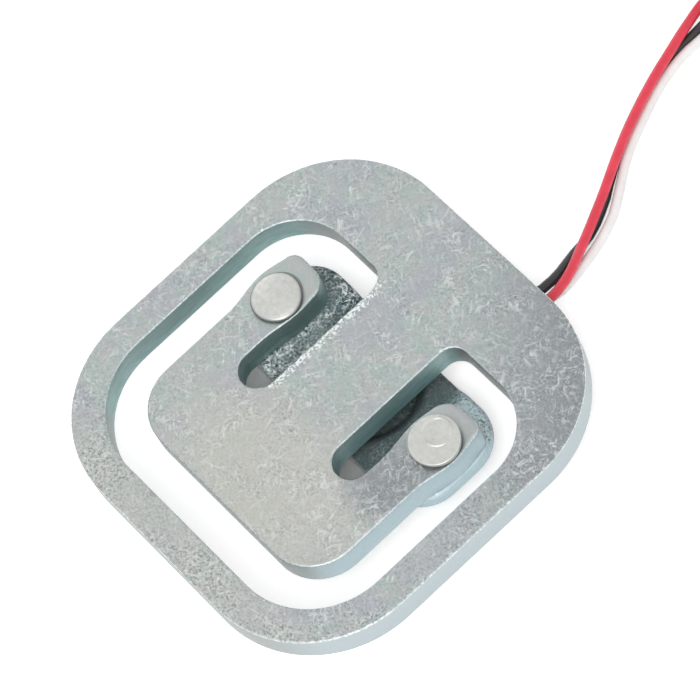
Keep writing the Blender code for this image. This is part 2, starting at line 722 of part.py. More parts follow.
def silicone_cover(finish):
    """A pad of silicone over the gauge, with a lump past the bridge plate where the leads come out."""
    film_low, film_high = GAUGE_Y - FILM_LENGTH / 2, GAUGE_Y + FILM_LENGTH / 2
    top = PLATE_BOTTOM - BOND
    middle = BRIDGE_ROOT_EDGE + LUMP_TO_BRIDGE + LUMP_HALF_LENGTH
    half = BEAM_HALF - COVER_TO_BEAM_EDGE
    edge = rounded_rectangle(-half, half, film_low - COVER_MARGIN, middle - COVER_ROUND, 3 * COVER_ROUND, 5)
    pad = flat_piece("silicone_cover", [edge], top - COVER_DEPTH, top + 3 * COVER_ROUND, finish, COVER_ROUND)
    cover = as_mesh(pad)
    drop = [
        (LUMP_HALF_WIDTH * math.cos(a), top - LUMP_DEPTH * math.sin(a))
        for a in [math.radians(10 * i) for i in range(10)]
    ]
    wall = [(0.0, top + COVER_ROUND), (LUMP_HALF_WIDTH, top + COVER_ROUND)]
    lump = turned("cover_lump", [*wall, *drop[:-1], (0.0, drop[-1][1])], None, (LUMP_OFFSET, middle, 0.0))
    lump.scale = (1.0, LUMP_HALF_LENGTH / LUMP_HALF_WIDTH, 1.0)
    boolean(cover, as_cutter(lump), "UNION")
    above = block("cover_trim", (-HALF_SIDE, -HALF_SIDE, top), (HALF_SIDE, 2 * HALF_SIDE, PLATE_TOP))
    boolean(cover, above, "DIFFERENCE")
    film_half, clear = FILM_WIDTH / 2, COVER_CLEARANCE
    pocket_low = (-film_half - clear, film_low - clear, FOIL_BOTTOM - clear)
    pocket_high = (film_half + clear, film_high + clear, PLATE_TOP)
    boolean(cover, block("film_pocket", pocket_low, pocket_high), "DIFFERENCE")
    deep = min(FOIL_BOTTOM - BOND - SOLDER_HEIGHT, LEAD_HEIGHT - CONDUCTOR_DIAMETER / 2) - clear
    reach = LEAD_PITCH + SOLDER_RADIUS + clear
    joint_low = (-reach, TAB_END - TAB_LENGTH / 2 - SOLDER_RADIUS - clear, deep)
    joint_high = (reach, LEAD_START - 2 * clear, PLATE_TOP)
    boolean(cover, block("joint_pocket", joint_low, joint_high), "DIFFERENCE")
    for colour in COLOURS:
        points = smooth_route(route(colour), ROUTE_STEP)[:5]
        ahead = points[0] + (points[0] - points[1]).normalized() * 4 * clear
        channel = tube(f"lead_channel_{colour}", [ahead, *points], LEAD_DIAMETER + 2 * clear, None)
        boolean(cover, as_cutter(as_mesh(channel)), "DIFFERENCE")
    return cover


def shade_smooth(obj):
    if obj.type == "MESH":
        obj.data.shade_smooth()
        obj.data.set_sharp_from_angle(angle=math.radians(30))


clear_scene()
PARTS = new_collection("half_bridge_load_cell")
CUTTERS = new_collection("cutters")

zinc_plated_steel = material("zinc_plated_steel", (0.40, 0.43, 0.43), 0.45, 0.9)
rivet_steel = material("rivet_steel", (0.58, 0.56, 0.53), 0.40, 0.9)
gauge_polyimide = material("gauge_polyimide", (0.55, 0.30, 0.08), 0.45)
constantan = material("constantan", (0.60, 0.48, 0.36), 0.35, 1.0)
solder = material("solder", (0.62, 0.62, 0.61), 0.30, 1.0)
tinned_copper = material("tinned_copper", (0.60, 0.59, 0.57), 0.35, 1.0)
white_silicone = material("white_silicone", (0.82, 0.81, 0.78), 0.55)
band_tape = material("clear_band", (0.70, 0.70, 0.66), 0.35)
insulation = {
    "black": material("black_insulation", (0.016, 0.017, 0.019), 0.42),
    "white": material("white_insulation", (0.86, 0.85, 0.84), 0.45),
    "red": material("red_insulation", (0.80, 0.06, 0.10), 0.42),
}

spring_plate(zinc_plated_steel)
bridge_plate(zinc_plated_steel)
rivet("left", -RIVET_X, rivet_steel)
rivet("right", RIVET_X, rivet_steel)
gauge_film(gauge_polyimide)
gauge_foil(constantan)
for lead_colour in COLOURS:
    solder_joint(lead_colour, solder)
    inner_end(lead_colour, tinned_copper)
    lead(lead_colour, insulation[lead_colour])
    bare_end(lead_colour, tinned_copper)
silicone_cover(white_silicone)
lead_coil(insulation["black"])
coil_band(band_tape)

for piece in PARTS.objects:
    shade_smooth(piece)
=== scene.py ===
"""Looks of the half-bridge load cell: a stamped spring plate, a riveted bridge plate and three leads."""

import math
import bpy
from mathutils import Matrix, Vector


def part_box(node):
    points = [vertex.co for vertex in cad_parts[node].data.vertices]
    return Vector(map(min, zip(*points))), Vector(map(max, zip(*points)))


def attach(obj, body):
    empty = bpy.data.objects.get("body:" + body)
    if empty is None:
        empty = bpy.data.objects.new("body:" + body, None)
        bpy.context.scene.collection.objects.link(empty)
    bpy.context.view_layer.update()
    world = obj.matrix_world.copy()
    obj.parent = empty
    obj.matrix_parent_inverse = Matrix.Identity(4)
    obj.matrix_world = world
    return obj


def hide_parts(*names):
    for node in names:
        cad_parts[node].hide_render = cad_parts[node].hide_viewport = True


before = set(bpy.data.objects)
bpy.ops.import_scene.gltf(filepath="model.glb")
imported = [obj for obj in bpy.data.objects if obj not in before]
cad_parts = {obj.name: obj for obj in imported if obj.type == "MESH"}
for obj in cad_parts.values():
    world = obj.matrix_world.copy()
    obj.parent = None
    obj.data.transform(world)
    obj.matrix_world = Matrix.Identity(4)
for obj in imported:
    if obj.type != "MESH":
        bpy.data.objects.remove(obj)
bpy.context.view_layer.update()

from types import SimpleNamespace

import bmesh
import bpy
from mathutils import Matrix, Vector, noise
from mathutils.geometry import tessellate_polygon

bl_info = {
    "name": "Half-bridge load cell",
    "version": (1, 0, 0),
    "blender": (4, 5, 0),
    "location": "View3D > Sidebar > Load cell",
    "description": "Builds the pieces and finishes of a half-bridge load cell on its CAD frame",
    "category": "Add Mesh",
}

BODY = "root"
PLATE_LOW, PLATE_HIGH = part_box("spring_plate")
BRIDGE_LOW, BRIDGE_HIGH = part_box("bridge_plate")

# The spring plate's outline
PLATE_CORNER = 0.0099
OPENING_HALF = 0.0143
OPENING_FAR = -0.0142
OPENING_ROOT = 0.0097
OPENING_ROOT_CORNER = 0.0051
OPENING_FAR_CORNER = 0.0071
ROOT_FILLET = 0.0014
TONGUE_HALF = 0.01095
TONGUE_FAR = -0.0111
TIP_CORNER = 0.0041
BEAM_HALF = 0.0040
SLOT_RADIUS = 0.001575
SLOT_CENTRE = -0.002075
SLOT_OUTSIDE = BEAM_HALF + 2 * SLOT_RADIUS
ARM_END = 0.00645
ARM_OUTER_CORNER = 0.0010
ARM_INNER_CORNER = 0.0018
EAR_OUTWARD = 0.00052
EAR_INWARD = 0.00038
EAR_REACH = 0.0037
RIVET = (0.00905, 0.00315)
HEAD_FEET = ((-0.00878, 0.00276), (0.00952, 0.00310))

# The bridge plate
BRIDGE_HALF = 0.0116
BRIDGE_WIDTH = 0.0094
BRIDGE_CORNER = 0.0034
BRIDGE_THICKNESS = 0.0012
BRIDGE_DROP = 0.0010
BEND_INSIDE = 0.0049
BEND_OUTSIDE = 0.0071
BUTTON_CROWN = 0.0038
BUTTON_FOOT = 0.0046
BUTTON_DEPTH = 0.0008
BRIDGE_UPPER_EDGE = 0.00038
BRIDGE_LOWER_EDGE = 0.00015

# How closely the stamped outlines are followed, and where the riveting tool rolls the arms' ends
OUTLINE_STEP = 0.00025
PRESS_BACK = 0.0006
PRESS_REACH = 0.0036

# The rivets' heads: how high their edge stands, how wide their shoulder is, how far their middle rises
# and how far they sit off the shank
HEAD_SHAPE = {"left": (0.00040, 0.00030, 0.00020), "right": (0.00068, 0.00011, 0.00002)}
HEAD_SHIFT = {"left": (0.00012, -0.00034), "right": (0.00030, 0.00002)}
HEAD_OVER_BOX = 0.0001
HEAD_ROOM = 0.00002
HEAD_UNDERCUT = 0.00004

# The ring that the tool leaves on the right head
RING_MIDDLE = (-0.00030, 0.00060)
RING_RADIUS = 0.00112
RING_WIDTH = 0.00007
RING_HEIGHT = 0.00009
RING_HOLLOW = 0.00108

# The rivets below their heads
SHANK_RADIUS = 0.00125
TAIL_RADIUS = 0.0018
TAIL_WALL = 0.0001
TAIL_CORNER = 0.0005

# The silicone: a wiped pad and the lump at its end
SILICONE_CELL = 0.00022
SILICONE_THINNEST = 0.00003
PAD_HALF = BEAM_HALF - 0.0003
PAD_DEPTH = 0.00088
PAD_EDGE = 0.0007
LUMP_X = 0.0006
LUMP_HALF_WIDTH = 0.0039
LUMP_HALF_LENGTH = 0.0025
LUMP_DEPTH = 0.00170
LUMP_BLEND = 0.00008

# The streaks of the plating, in grains, with the way they turn and how far they bend
STREAK_LENGTH = 4.0
STREAK_WIDTH = 1.3
STREAK_TURNS = (0.95, -0.60)
STREAK_BEND = 0.0012

# Pits, and the length, width and turn of each set of rubs
PIT_SIZE = (0.0011, 0.0008)
SHORT_RUBS = (
    ((0.0016, 0.0005), 0.80),
    ((0.0013, 0.0005), -0.70),
    ((0.0018, 0.0005), -0.95),
    ((0.0012, 0.0006), 0.45),
)
LONG_RUBS = (((0.0050, 0.0005), 0.30), ((0.0042, 0.0005), -1.25))

# Where each mark of the spring plate starts and where it is full: across, along or from its middle
WARM_MIDDLE = (0.0020, -0.0075, 0.0055)
WARM_SIZE = (0.010, 0.006, 0.010)
WARM_FAR_BAR = (-0.0125, -0.0150)
# Painted shade: the spring plate's face darkens towards its far right corner and on the right arm
PAINTED_SHADE_CORNER = (0.011, 0.030)
ARM_SHADE_MIDDLE = (0.0088, -0.0010, 0.0055)
ARM_SHADE_REACH = (0.0048, 0.0016)
# Painted shadow: how far the dark ring round the foot of each rivet head reaches
HEAD_SHADOW_REACH = (0.00225, 0.00190)
IRONED_REACH = (0.0044, 0.0022)
FRAME_SIDES = (0.0115, 0.0150)
OUTER_WALL = (0.0152, 0.0160)
# Painted shade and light on the walls: the opening's walls stay darker, and those at the right are painted
# paler
OPEN_SIDE = (0.0046, 0.0100)
PAINTED_LIGHT_SIDE = (0.0092, 0.0110)

# The same for the bridge plate
# Painted light at the bridge plate's right end, and painted shade under the beam's right side and behind the
# ears
PAINTED_LIGHT_END = (0.0044, 0.0064)
HIDDEN_RIGHT = (0.0010, 0.0040)
BEHIND_EARS = (0.0035, 0.0060)
SPECKLED_LEFT = (-0.002, 0.003)

# The stage: the lamps' places and widths, the camera's axes, and the shaded floor under the slots
KEY_LAMP = ((0.20, -0.15, 0.37), 0.30)
SIDE_LAMP = ((-0.33, 0.03, 0.15), 0.25)
CAMERA_RIGHT = (0.6379, 0.72908, -0.24803)
CAMERA_BACK = (0.47553, -0.11957, 0.87153)
FLOOR_HALF = 1.5
FLOOR_DROP = 0.00002
SHADE_OFFSET = (0.0027, 0.0019, 0.0)
SHADE_SIDES = (0.0075, 0.0108)
SHADE_ENDS = (0.0020, 0.0060)

# The leads, and the coil with its band
LEAD_RADIUS = 0.0004
STRAND_SIDES = 24
STRAND_LAY = 0.0022
BAND_HALF = 0.0008
BAND_THICKNESS = 0.00025
BAND_EDGE = 0.00006
BAND_GAP = 0.00008
BAND_TURN = 300.0
COIL_CENTRE = (-0.0106, 0.0512)
COIL_RADIUS = 0.0048
COIL_COLUMNS = 5
COLUMN_PITCH = 0.00085
LAYER_PITCH = 0.00083
COIL_TURNS = 8.45
POINTS_A_TURN = 24
JOG = 0.10
JOG_STAGGER = 0.02
COIL_COLUMN = {"white": 4, "black": 3, "red": 2}

# The leads' routes from their solder joints to the coil, within 0.4 mm of the CAD source
LEAD_START = 0.008775
LEAD_STRAIGHT = 0.00096
LEAD_HEIGHT = 0.00253
TAB_X = {"black": -0.0013, "white": 0.0, "red": 0.0013}
ROUTES = {
    "black": [
        (-0.00020, 0.01220, 0.00250),
        (0.00160, 0.01390, 0.00250),
        (0.00330, 0.01560, 0.00250),
        (0.00418, 0.01700, 0.00248),
        (0.00425, 0.01820, 0.00230),
        (0.00405, 0.01930, 0.00190),
        (0.00355, 0.02055, 0.00135),
        (0.00310, 0.02175, 0.00085),
        (0.00285, 0.02270, 0.00052),
        (0.00270, 0.02330, 0.00042),
        (0.00232, 0.02442, 0.00040),
        (0.00185, 0.02540, 0.00040),
        (0.00125, 0.02649, 0.00040),
        (0.00051, 0.02754, 0.00040),
        (-0.00028, 0.02879, 0.00040),
        (-0.00102, 0.02999, 0.00040),
        (-0.00182, 0.03158, 0.00040),
        (-0.00251, 0.03316, 0.00040),
        (-0.00318, 0.03487, 0.00040),
        (-0.00372, 0.03646, 0.00040),
        (-0.00400, 0.03841, 0.00040),
        (-0.00402, 0.04026, 0.00040),
        (-0.00406, 0.04138, 0.00040),
        (-0.00420, 0.04280, 0.00040),
        (-0.00450, 0.04460, 0.00040),
    ],
    "white": [
        (0.00128, 0.01220, 0.00250),
        (0.00290, 0.01375, 0.00235),
        (0.00405, 0.01530, 0.00200),
        (0.00470, 0.01690, 0.00172),
        (0.00498, 0.01835, 0.00150),
        (0.00480, 0.01966, 0.00115),
        (0.00437, 0.02111, 0.00075),
        (0.00400, 0.02244, 0.00048),
        (0.00360, 0.02384, 0.00040),
        (0.00318, 0.02496, 0.00040),
        (0.00267, 0.02608, 0.00040),
        (0.00192, 0.02717, 0.00040),
        (0.00104, 0.02840, 0.00040),
        (0.00014, 0.02961, 0.00040),
        (-0.00063, 0.03097, 0.00040),
        (-0.00131, 0.03244, 0.00040),
        (-0.00199, 0.03403, 0.00040),
        (-0.00259, 0.03562, 0.00040),
        (-0.00304, 0.03720, 0.00040),
        (-0.00333, 0.03906, 0.00040),
        (-0.00329, 0.04060, 0.00040),
        (-0.00328, 0.04196, 0.00040),
        (-0.00340, 0.04360, 0.00040),
        (-0.00372, 0.04560, 0.00040),
    ],
    "red": [
        (0.00275, 0.01220, 0.00250),
        (0.00405, 0.01360, 0.00250),
        (0.00495, 0.01520, 0.00250),
        (0.00530, 0.01670, 0.00250),
        (0.00536, 0.01783, 0.00248),
        (0.00511, 0.01906, 0.00232),
        (0.00461, 0.02026, 0.00205),
        (0.00399, 0.02137, 0.00175),
        (0.00339, 0.02236, 0.00148),
        (0.00279, 0.02351, 0.00132),
        (0.00218, 0.02468, 0.00128),
        (0.00159, 0.02586, 0.00128),
        (0.00093, 0.02710, 0.00128),
        (0.00020, 0.02840, 0.00128),
        (-0.00059, 0.02987, 0.00128),
        (-0.00133, 0.03140, 0.00128),
        (-0.00201, 0.03298, 0.00128),
        (-0.00270, 0.03469, 0.00127),
        (-0.00328, 0.03631, 0.00126),
        (-0.00379, 0.03802, 0.00125),
        (-0.00434, 0.03974, 0.00119),
        (-0.00499, 0.04147, 0.00078),
        (-0.00546, 0.04283, 0.00046),
        (-0.00564, 0.04420, 0.00040),
    ],
}

# How a mask rises between its two limits
SMOOTH = {"interpolation_type": "SMOOTHSTEP"}


def linear(hex_colour):
    """An sRGB hex colour as linear red, green, blue and alpha."""
    parts = [int(hex_colour[i : i + 2], 16) / 255 for i in (1, 3, 5)]
    return (*[p / 12.92 if p <= 0.04045 else ((p + 0.055) / 1.055) ** 2.4 for p in parts], 1.0)


def add_node(tree, kind, inputs=(), output=0, **settings):
    """Add a node, set or link its inputs by name or in order, and give back one of its outputs, if any."""
    made = tree.nodes.new("ShaderNode" + kind)
    for name, value in settings.items():
        setattr(made, name, value)
    for socket, value in inputs.items() if isinstance(inputs, dict) else enumerate(inputs):
        if isinstance(value, bpy.types.NodeSocket):
            tree.links.new(value, made.inputs[socket])
        else:
            made.inputs[socket].default_value = value
    return None if output is None else made.outputs[output]


def new_material(name):
    """A material with its node tree, its shader and the object coordinates that its patterns use."""
    made = bpy.data.materials.new(name)
    made.use_nodes = True
    tree = made.node_tree
    return made, tree, tree.nodes["Principled BSDF"], add_node(tree, "TexCoord", output="Object")


def painted(tree, base, layers):
    """The base colour with the colour of each layer mixed over it, as far as the layer's share says."""
    for share, colour in layers:
        mixed = {0: share, 6: base, 7: linear(colour)}
        base = add_node(tree, "Mix", mixed, output=2, data_type="RGBA")
    return base


def dashes(tree, place, size, turn, rarity):
    """Short rubs of one length and width, each in its own random place, as a mask."""
    turned = {"Vector": place, "Rotation": (0.0, 0.0, turn), "Scale": (size[0], size[1], size[1])}
    turned = add_node(tree, "Mapping", turned, vector_type="TEXTURE")
    near = add_node(tree, "TexVoronoi", {"Vector": turned, "Scale": 1.0, "Randomness": 1.0})
    chosen = add_node(tree, "SeparateColor", {"Color": near.node.outputs["Color"]})
    mark = add_node(tree, "MapRange", (near, 0.22, 0.08), **SMOOTH)
    kept = add_node(tree, "Math", (chosen, rarity), operation="GREATER_THAN")
    return add_node(tree, "Math", (mark, kept), operation="MULTIPLY")


def plating_ground(tree, place, grain):
    """What the parts of the plating share: a point's place and slope, and the noises of the sheet."""
    across = add_node(tree, "SeparateXYZ", {"Vector": place}, output="X")
    facing = add_node(tree, "TexCoord", output="Normal")
    tilt = add_node(tree, "SeparateXYZ", {"Vector": facing}, output="Z")
    out, level, end_on = (
        add_node(tree, "Math", (value,), operation="ABSOLUTE")
        for value in (across, tilt, tilt.node.outputs["Y"])
    )
    moved = add_node(tree, "Mapping", {"Vector": place, "Location": (0.031, 0.017, 0.0)})
    fine = 1 / grain
    speck, patch, cloud, haze = (
        add_node(tree, "TexNoise", {"Vector": at, "Scale": scale, "Detail": detail, **more})
        for at, scale, detail, more in (
            (place, fine, 2.0, {"Roughness": 0.6}),
            (place, fine / 14, 3.0, {"Roughness": 0.6}),
            (place, fine / 9, 2.0, {"Distortion": 0.4}),
            (moved, fine / 18, 3.0, {"Roughness": 0.55}),
        )
    )

    # Streaks, crossed in two directions and bent a little by a slow noise
    wave = {"Vector": place, "Scale": fine / 7, "Detail": 1.0}
    wave = add_node(tree, "TexNoise", wave, output="Color")
    bent = (wave, (STREAK_BEND, STREAK_BEND, 0.0), moved)
    bent = add_node(tree, "VectorMath", bent, operation="MULTIPLY_ADD")
    streak = 0.0
    for turn in STREAK_TURNS:
        size = (STREAK_LENGTH * grain, STREAK_WIDTH * grain, grain)
        turned = {"Vector": bent, "Rotation": (0.0, 0.0, turn), "Scale": size}
        turned = add_node(tree, "Mapping", turned, vector_type="TEXTURE")
        one = {"Vector": turned, "Scale": 1.0, "Detail": 2.0, "Distortion": 0.5}
        one = add_node(tree, "TexNoise", one)
        streak = add_node(tree, "Math", (one, streak), operation="MAXIMUM")
    return SimpleNamespace(
        place=place,
        moved=moved,
        across=across,
        along=across.node.outputs["Y"],
        height=across.node.outputs["Z"],
        out=out,
        level=level,
        end_on=end_on,
        speck=speck,
        patch=patch,
        cloud=cloud,
        haze=haze,
        streak=streak,
    )


def pressed_light_and_shade(tree, at):
    """The bridge plate is painted darker where the slots show it, as painted shade, with deeper painted
    shade under the beam's right side and behind the ears, and painted lighter at its right end, as painted
    light. Gives the shares of painted light, painted shade and deeper painted shade, and the strength of
    the specks."""
    # Painted light at the right end; painted shade over the rest of the face, deeper under the beam's right
    # side and behind the ears
    unshaded = add_node(tree, "MapRange", (at.across, *PAINTED_LIGHT_END), **SMOOTH)
    painted_light_and_shade = add_node(tree, "Math", (unshaded, 0.72), operation="MULTIPLY")
    dull = add_node(tree, "Math", (unshaded, -0.85, 0.85), operation="MULTIPLY_ADD")
    hidden = add_node(tree, "MapRange", (at.across, *HIDDEN_RIGHT, 0.0, 0.5), **SMOOTH)
    behind = add_node(tree, "MapRange", (at.along, *BEHIND_EARS, 0.0, 0.45), **SMOOTH)
    hidden = add_node(tree, "Math", (hidden, behind), operation="MAXIMUM")
    painted_shade = add_node(tree, "Math", (1.0, unshaded), operation="SUBTRACT")
    painted_shade = add_node(tree, "Math", (painted_shade, hidden), operation="MULTIPLY")
    amount = add_node(tree, "MapRange", (at.across, *SPECKLED_LEFT, 1.4, 0.35))
    amount = add_node(tree, "Math", (unshaded, 0.20, amount), operation="MULTIPLY_ADD")
    return painted_light_and_shade, dull, painted_shade, amount


def blanked_shading(tree, at):
    """The spring plate has painted shade towards its far right corner and on the right arm, and a painted
    shadow round the foot of each rivet head. Gives the same shares as the bridge plate's."""
    # Painted shade towards the far right corner and on the right arm
    corner = add_node(tree, "Math", (at.across, at.along), operation="ADD")
    painted_light_and_shade = add_node(tree, "MapRange", (corner, *PAINTED_SHADE_CORNER), **SMOOTH)
    near_scuff = (at.place, ARM_SHADE_MIDDLE)
    near_scuff = add_node(tree, "VectorMath", near_scuff, output="Value", operation="DISTANCE")
    shaded_arm = add_node(tree, "MapRange", (near_scuff, *ARM_SHADE_REACH, 0.0, 0.95), **SMOOTH)
    painted_light_and_shade = add_node(tree, "Math", (painted_light_and_shade, shaded_arm), operation="MAXIMUM")
    # Painted shadow round the foot of each rivet head, where the heads shade the plate
    painted_shade = 0.0
    for x, y in HEAD_FEET:
        foot = (at.place, (x, y, PLATE_HIGH.z))
        foot = add_node(tree, "VectorMath", foot, output="Value", operation="DISTANCE")
        foot = add_node(tree, "MapRange", (foot, *HEAD_SHADOW_REACH, 0.0, 0.65), **SMOOTH)
        painted_shade = add_node(tree, "Math", (foot, painted_shade), operation="MAXIMUM")
    return painted_light_and_shade, 0.0, painted_shade, 0.65


def tumbling_rubs(tree, at, grainy):
    """Rubs from tumbling: short ones in clusters and a few long ones, none where the steel is ironed."""
    cluster = add_node(tree, "TexNoise", {"Vector": at.moved, "Scale": 420.0, "Detail": 1.0})
    cluster = add_node(tree, "MapRange", (cluster, 0.58, 0.66), **SMOOTH)
    rub = 0.0
    for size, turn in SHORT_RUBS:
        one = dashes(tree, at.place, size, turn, 0.35)
        rub = add_node(tree, "Math", (one, rub), operation="MAXIMUM")
    rub = add_node(tree, "Math", (rub, cluster), operation="MULTIPLY")
    for size, turn in LONG_RUBS:
        one = dashes(tree, at.place, size, turn, 0.86)
        rub = add_node(tree, "Math", (one, 0.5, rub), operation="MULTIPLY_ADD", use_clamp=True)
    return add_node(tree, "Math", (rub, grainy), operation="MULTIPLY")


def plated_face(tree, settings, at, rub, grainy, pressed):
    """The colour of the faces, and how strong their specks and streaks are: stronger in patches, on
    two sides of the frame and where the plates are painted with shade and light."""
    tint = add_node(tree, "MapRange", (at.cloud, 0.42, 0.58), **SMOOTH)
    mist = add_node(tree, "MapRange", (at.haze, 0.48, 0.62, 0.0, 0.65), **SMOOTH)
    middle = {"Vector": at.place, "Location": WARM_MIDDLE, "Scale": WARM_SIZE}
    middle = add_node(tree, "Mapping", middle, vector_type="TEXTURE")
    middle = add_node(tree, "VectorMath", (middle,), output="Value", operation="LENGTH")
    warm = add_node(tree, "MapRange", (middle, 1.3, 0.5, 0.0, 0.9), **SMOOTH)
    far_bar = add_node(tree, "MapRange", (at.along, *WARM_FAR_BAR, 0.0, 0.45), **SMOOTH)
    warm = add_node(tree, "Math", (warm, far_bar), operation="MAXIMUM")
    painted_light_and_shade, dull, painted_shade, amount = pressed_light_and_shade(tree, at) if pressed else blanked_shading(tree, at)

    rich = add_node(tree, "MapRange", (at.patch, 0.40, 0.64, 0.35, 1.0), **SMOOTH)
    rich = add_node(tree, "Math", (rich, grainy), operation="MULTIPLY")
    rich = add_node(tree, "Math", (rich, amount), operation="MULTIPLY")
    frame_side = add_node(tree, "Math", (at.along, -1.0), operation="MULTIPLY")
    frame_side = add_node(tree, "Math", (frame_side, at.across), operation="MAXIMUM")
    frame_side = add_node(tree, "MapRange", (frame_side, *FRAME_SIDES, 1.0, 2.3), **SMOOTH)
    coarse = add_node(tree, "MapRange", (painted_light_and_shade, 0.0, 1.0, 1.0, 2.0))
    coarse = add_node(tree, "Math", (coarse, frame_side), operation="MAXIMUM")
    coarse = add_node(tree, "Math", (coarse, rich), operation="MULTIPLY")

    pits = dashes(tree, at.place, PIT_SIZE, 0.4, 0.78)
    deep = add_node(tree, "MapRange", (at.speck, 0.54, 0.32), **SMOOTH)
    light = add_node(tree, "MapRange", (at.streak, 0.53, 0.70), **SMOOTH)
    glint = add_node(tree, "MapRange", (at.speck, 0.58, 0.70), **SMOOTH)
    deep, light, glint, pits = (
        add_node(tree, "Math", pair, operation="MULTIPLY", use_clamp=True)
        for pair in ((deep, coarse), (light, rich), (glint, coarse), (pits, rich))
    )
    deep = add_node(tree, "Math", (deep, 1.0 if pressed else 0.7), operation="MULTIPLY")
    glint = add_node(tree, "Math", (glint, 0.7 if pressed else 0.35), operation="MULTIPLY")
    rubbed = add_node(tree, "Math", (rub, 0.5), operation="MULTIPLY")
    base = add_node(tree, "RGB")
    base.default_value = linear(settings.face_colour)
    layers = (
        (tint, settings.green_colour),
        (mist, settings.violet_colour),
        (warm, settings.tongue_colour),
        # Painted light at the bridge plate's right end, painted shade at the spring plate's far corner and
        # right arm
        (painted_light_and_shade, settings.painted_light_colour if pressed else settings.shade_colour),
        # Painted shade over the bridge plate's face where the slots show it
        (dull, settings.face_shade_colour),
        # Deeper painted shade: in the slots under the bridge plate, and round the feet of the rivet heads
        (painted_shade, settings.speck_and_shade_colour if pressed else settings.painted_shade),
        (deep, settings.speck_and_shade_colour if pressed else settings.pit_colour),
        (light, settings.pale_colour),
        (glint, settings.rub_colour),
        (pits, settings.pit_colour),
        (rubbed, settings.rub_colour),
    )
    return painted(tree, base, layers), rich


def sheared_wall(tree, settings, at):
    """The walls' colour, with faint bands along them: darker in the opening as painted shade, paler on the
    outside and on the right, paler still at the right as painted light, and grey on the walls that face
    along y as painted shade."""
    stretched = add_node(tree, "Mapping", {"Vector": at.place, "Scale": (500.0, 500.0, 2200.0)})
    bands = add_node(tree, "TexNoise", {"Vector": stretched, "Scale": 1.0, "Detail": 3.0})
    band = add_node(tree, "MapRange", (bands, 0.40, 0.62, 0.0, 0.7), **SMOOTH)
    from_middle = 0.0
    for side in (at.out, add_node(tree, "Math", (at.along,), operation="ABSOLUTE")):
        side = add_node(tree, "Math", (side, 4.0), operation="POWER")
        from_middle = add_node(tree, "Math", (side, from_middle), operation="ADD")
    from_middle = add_node(tree, "Math", (from_middle, 0.25), operation="POWER")
    outside = add_node(tree, "MapRange", (from_middle, *OUTER_WALL), **SMOOTH)
    # Painted shade: the opening's walls keep the darker slot colour, while open and outer walls take the
    # paler wall colour
    open_side = add_node(tree, "MapRange", (at.across, *OPEN_SIDE), **SMOOTH)
    open_side = add_node(tree, "Math", (open_side, outside), operation="MAXIMUM")
    not_outside = add_node(tree, "Math", (1.0, outside), operation="SUBTRACT")
    # Painted light on the walls at the right
    painted_light_side = add_node(tree, "MapRange", (at.across, *PAINTED_LIGHT_SIDE, 0.0, 0.8), **SMOOTH)
    painted_light_side = add_node(tree, "Math", (painted_light_side, not_outside), operation="MULTIPLY")
    uneven = add_node(tree, "Math", (bands, 0.0016, at.height), operation="MULTIPLY_ADD")
    burnish = (uneven, PLATE_HIGH.z - 0.0006, PLATE_HIGH.z - 0.0001, 0.0, 0.3)
    burnish = add_node(tree, "MapRange", burnish, **SMOOTH)
    # Painted shade on the walls that face along y
    facing_shade = add_node(tree, "MapRange", (at.end_on, 0.6, 0.95), **SMOOTH)
    wall = add_node(tree, "RGB")
    wall.default_value = linear(settings.shaded_slot_wall)
    layers = (
        (band, settings.slot_shade),
        (burnish, settings.burnished),
        (open_side, settings.wall_colour),
        (painted_light_side, settings.painted_light_colour),
        (facing_shade, settings.facing_shade_colour),
    )
    return painted(tree, wall, layers)


def burr_with_highlight(tree, at):
    """The bright, ragged burr along the beam's edge in the left slot, painted bright as a highlight, as a
    mask.
    """
    burr = add_node(tree, "Math", (at.across, BEAM_HALF - 0.00015), operation="ADD")
    burr = add_node(tree, "Math", (burr,), operation="ABSOLUTE")
    burr = add_node(tree, "MapRange", (burr, 0.00080, 0.00010))
    for limits in ((SLOT_CENTRE - 0.0008, SLOT_CENTRE + 0.0006), (OPENING_ROOT, OPENING_ROOT - 0.0020)):
        in_slot = add_node(tree, "MapRange", (at.along, *limits))
        burr = add_node(tree, "Math", (burr, in_slot), operation="MULTIPLY")
    near_edge = add_node(tree, "MapRange", (burr, 0.05, 0.35))
    ragged = add_node(tree, "Math", (burr, 0.14, at.speck), operation="MULTIPLY_ADD")
    burr = add_node(tree, "MapRange", (ragged, 0.56, 0.65, 0.0, 0.85), **SMOOTH)
    upward = add_node(tree, "MapRange", (at.level, 0.10, 0.35), **SMOOTH)
    for mask in (near_edge, upward):
        burr = add_node(tree, "Math", (burr, mask), operation="MULTIPLY")
    return burr


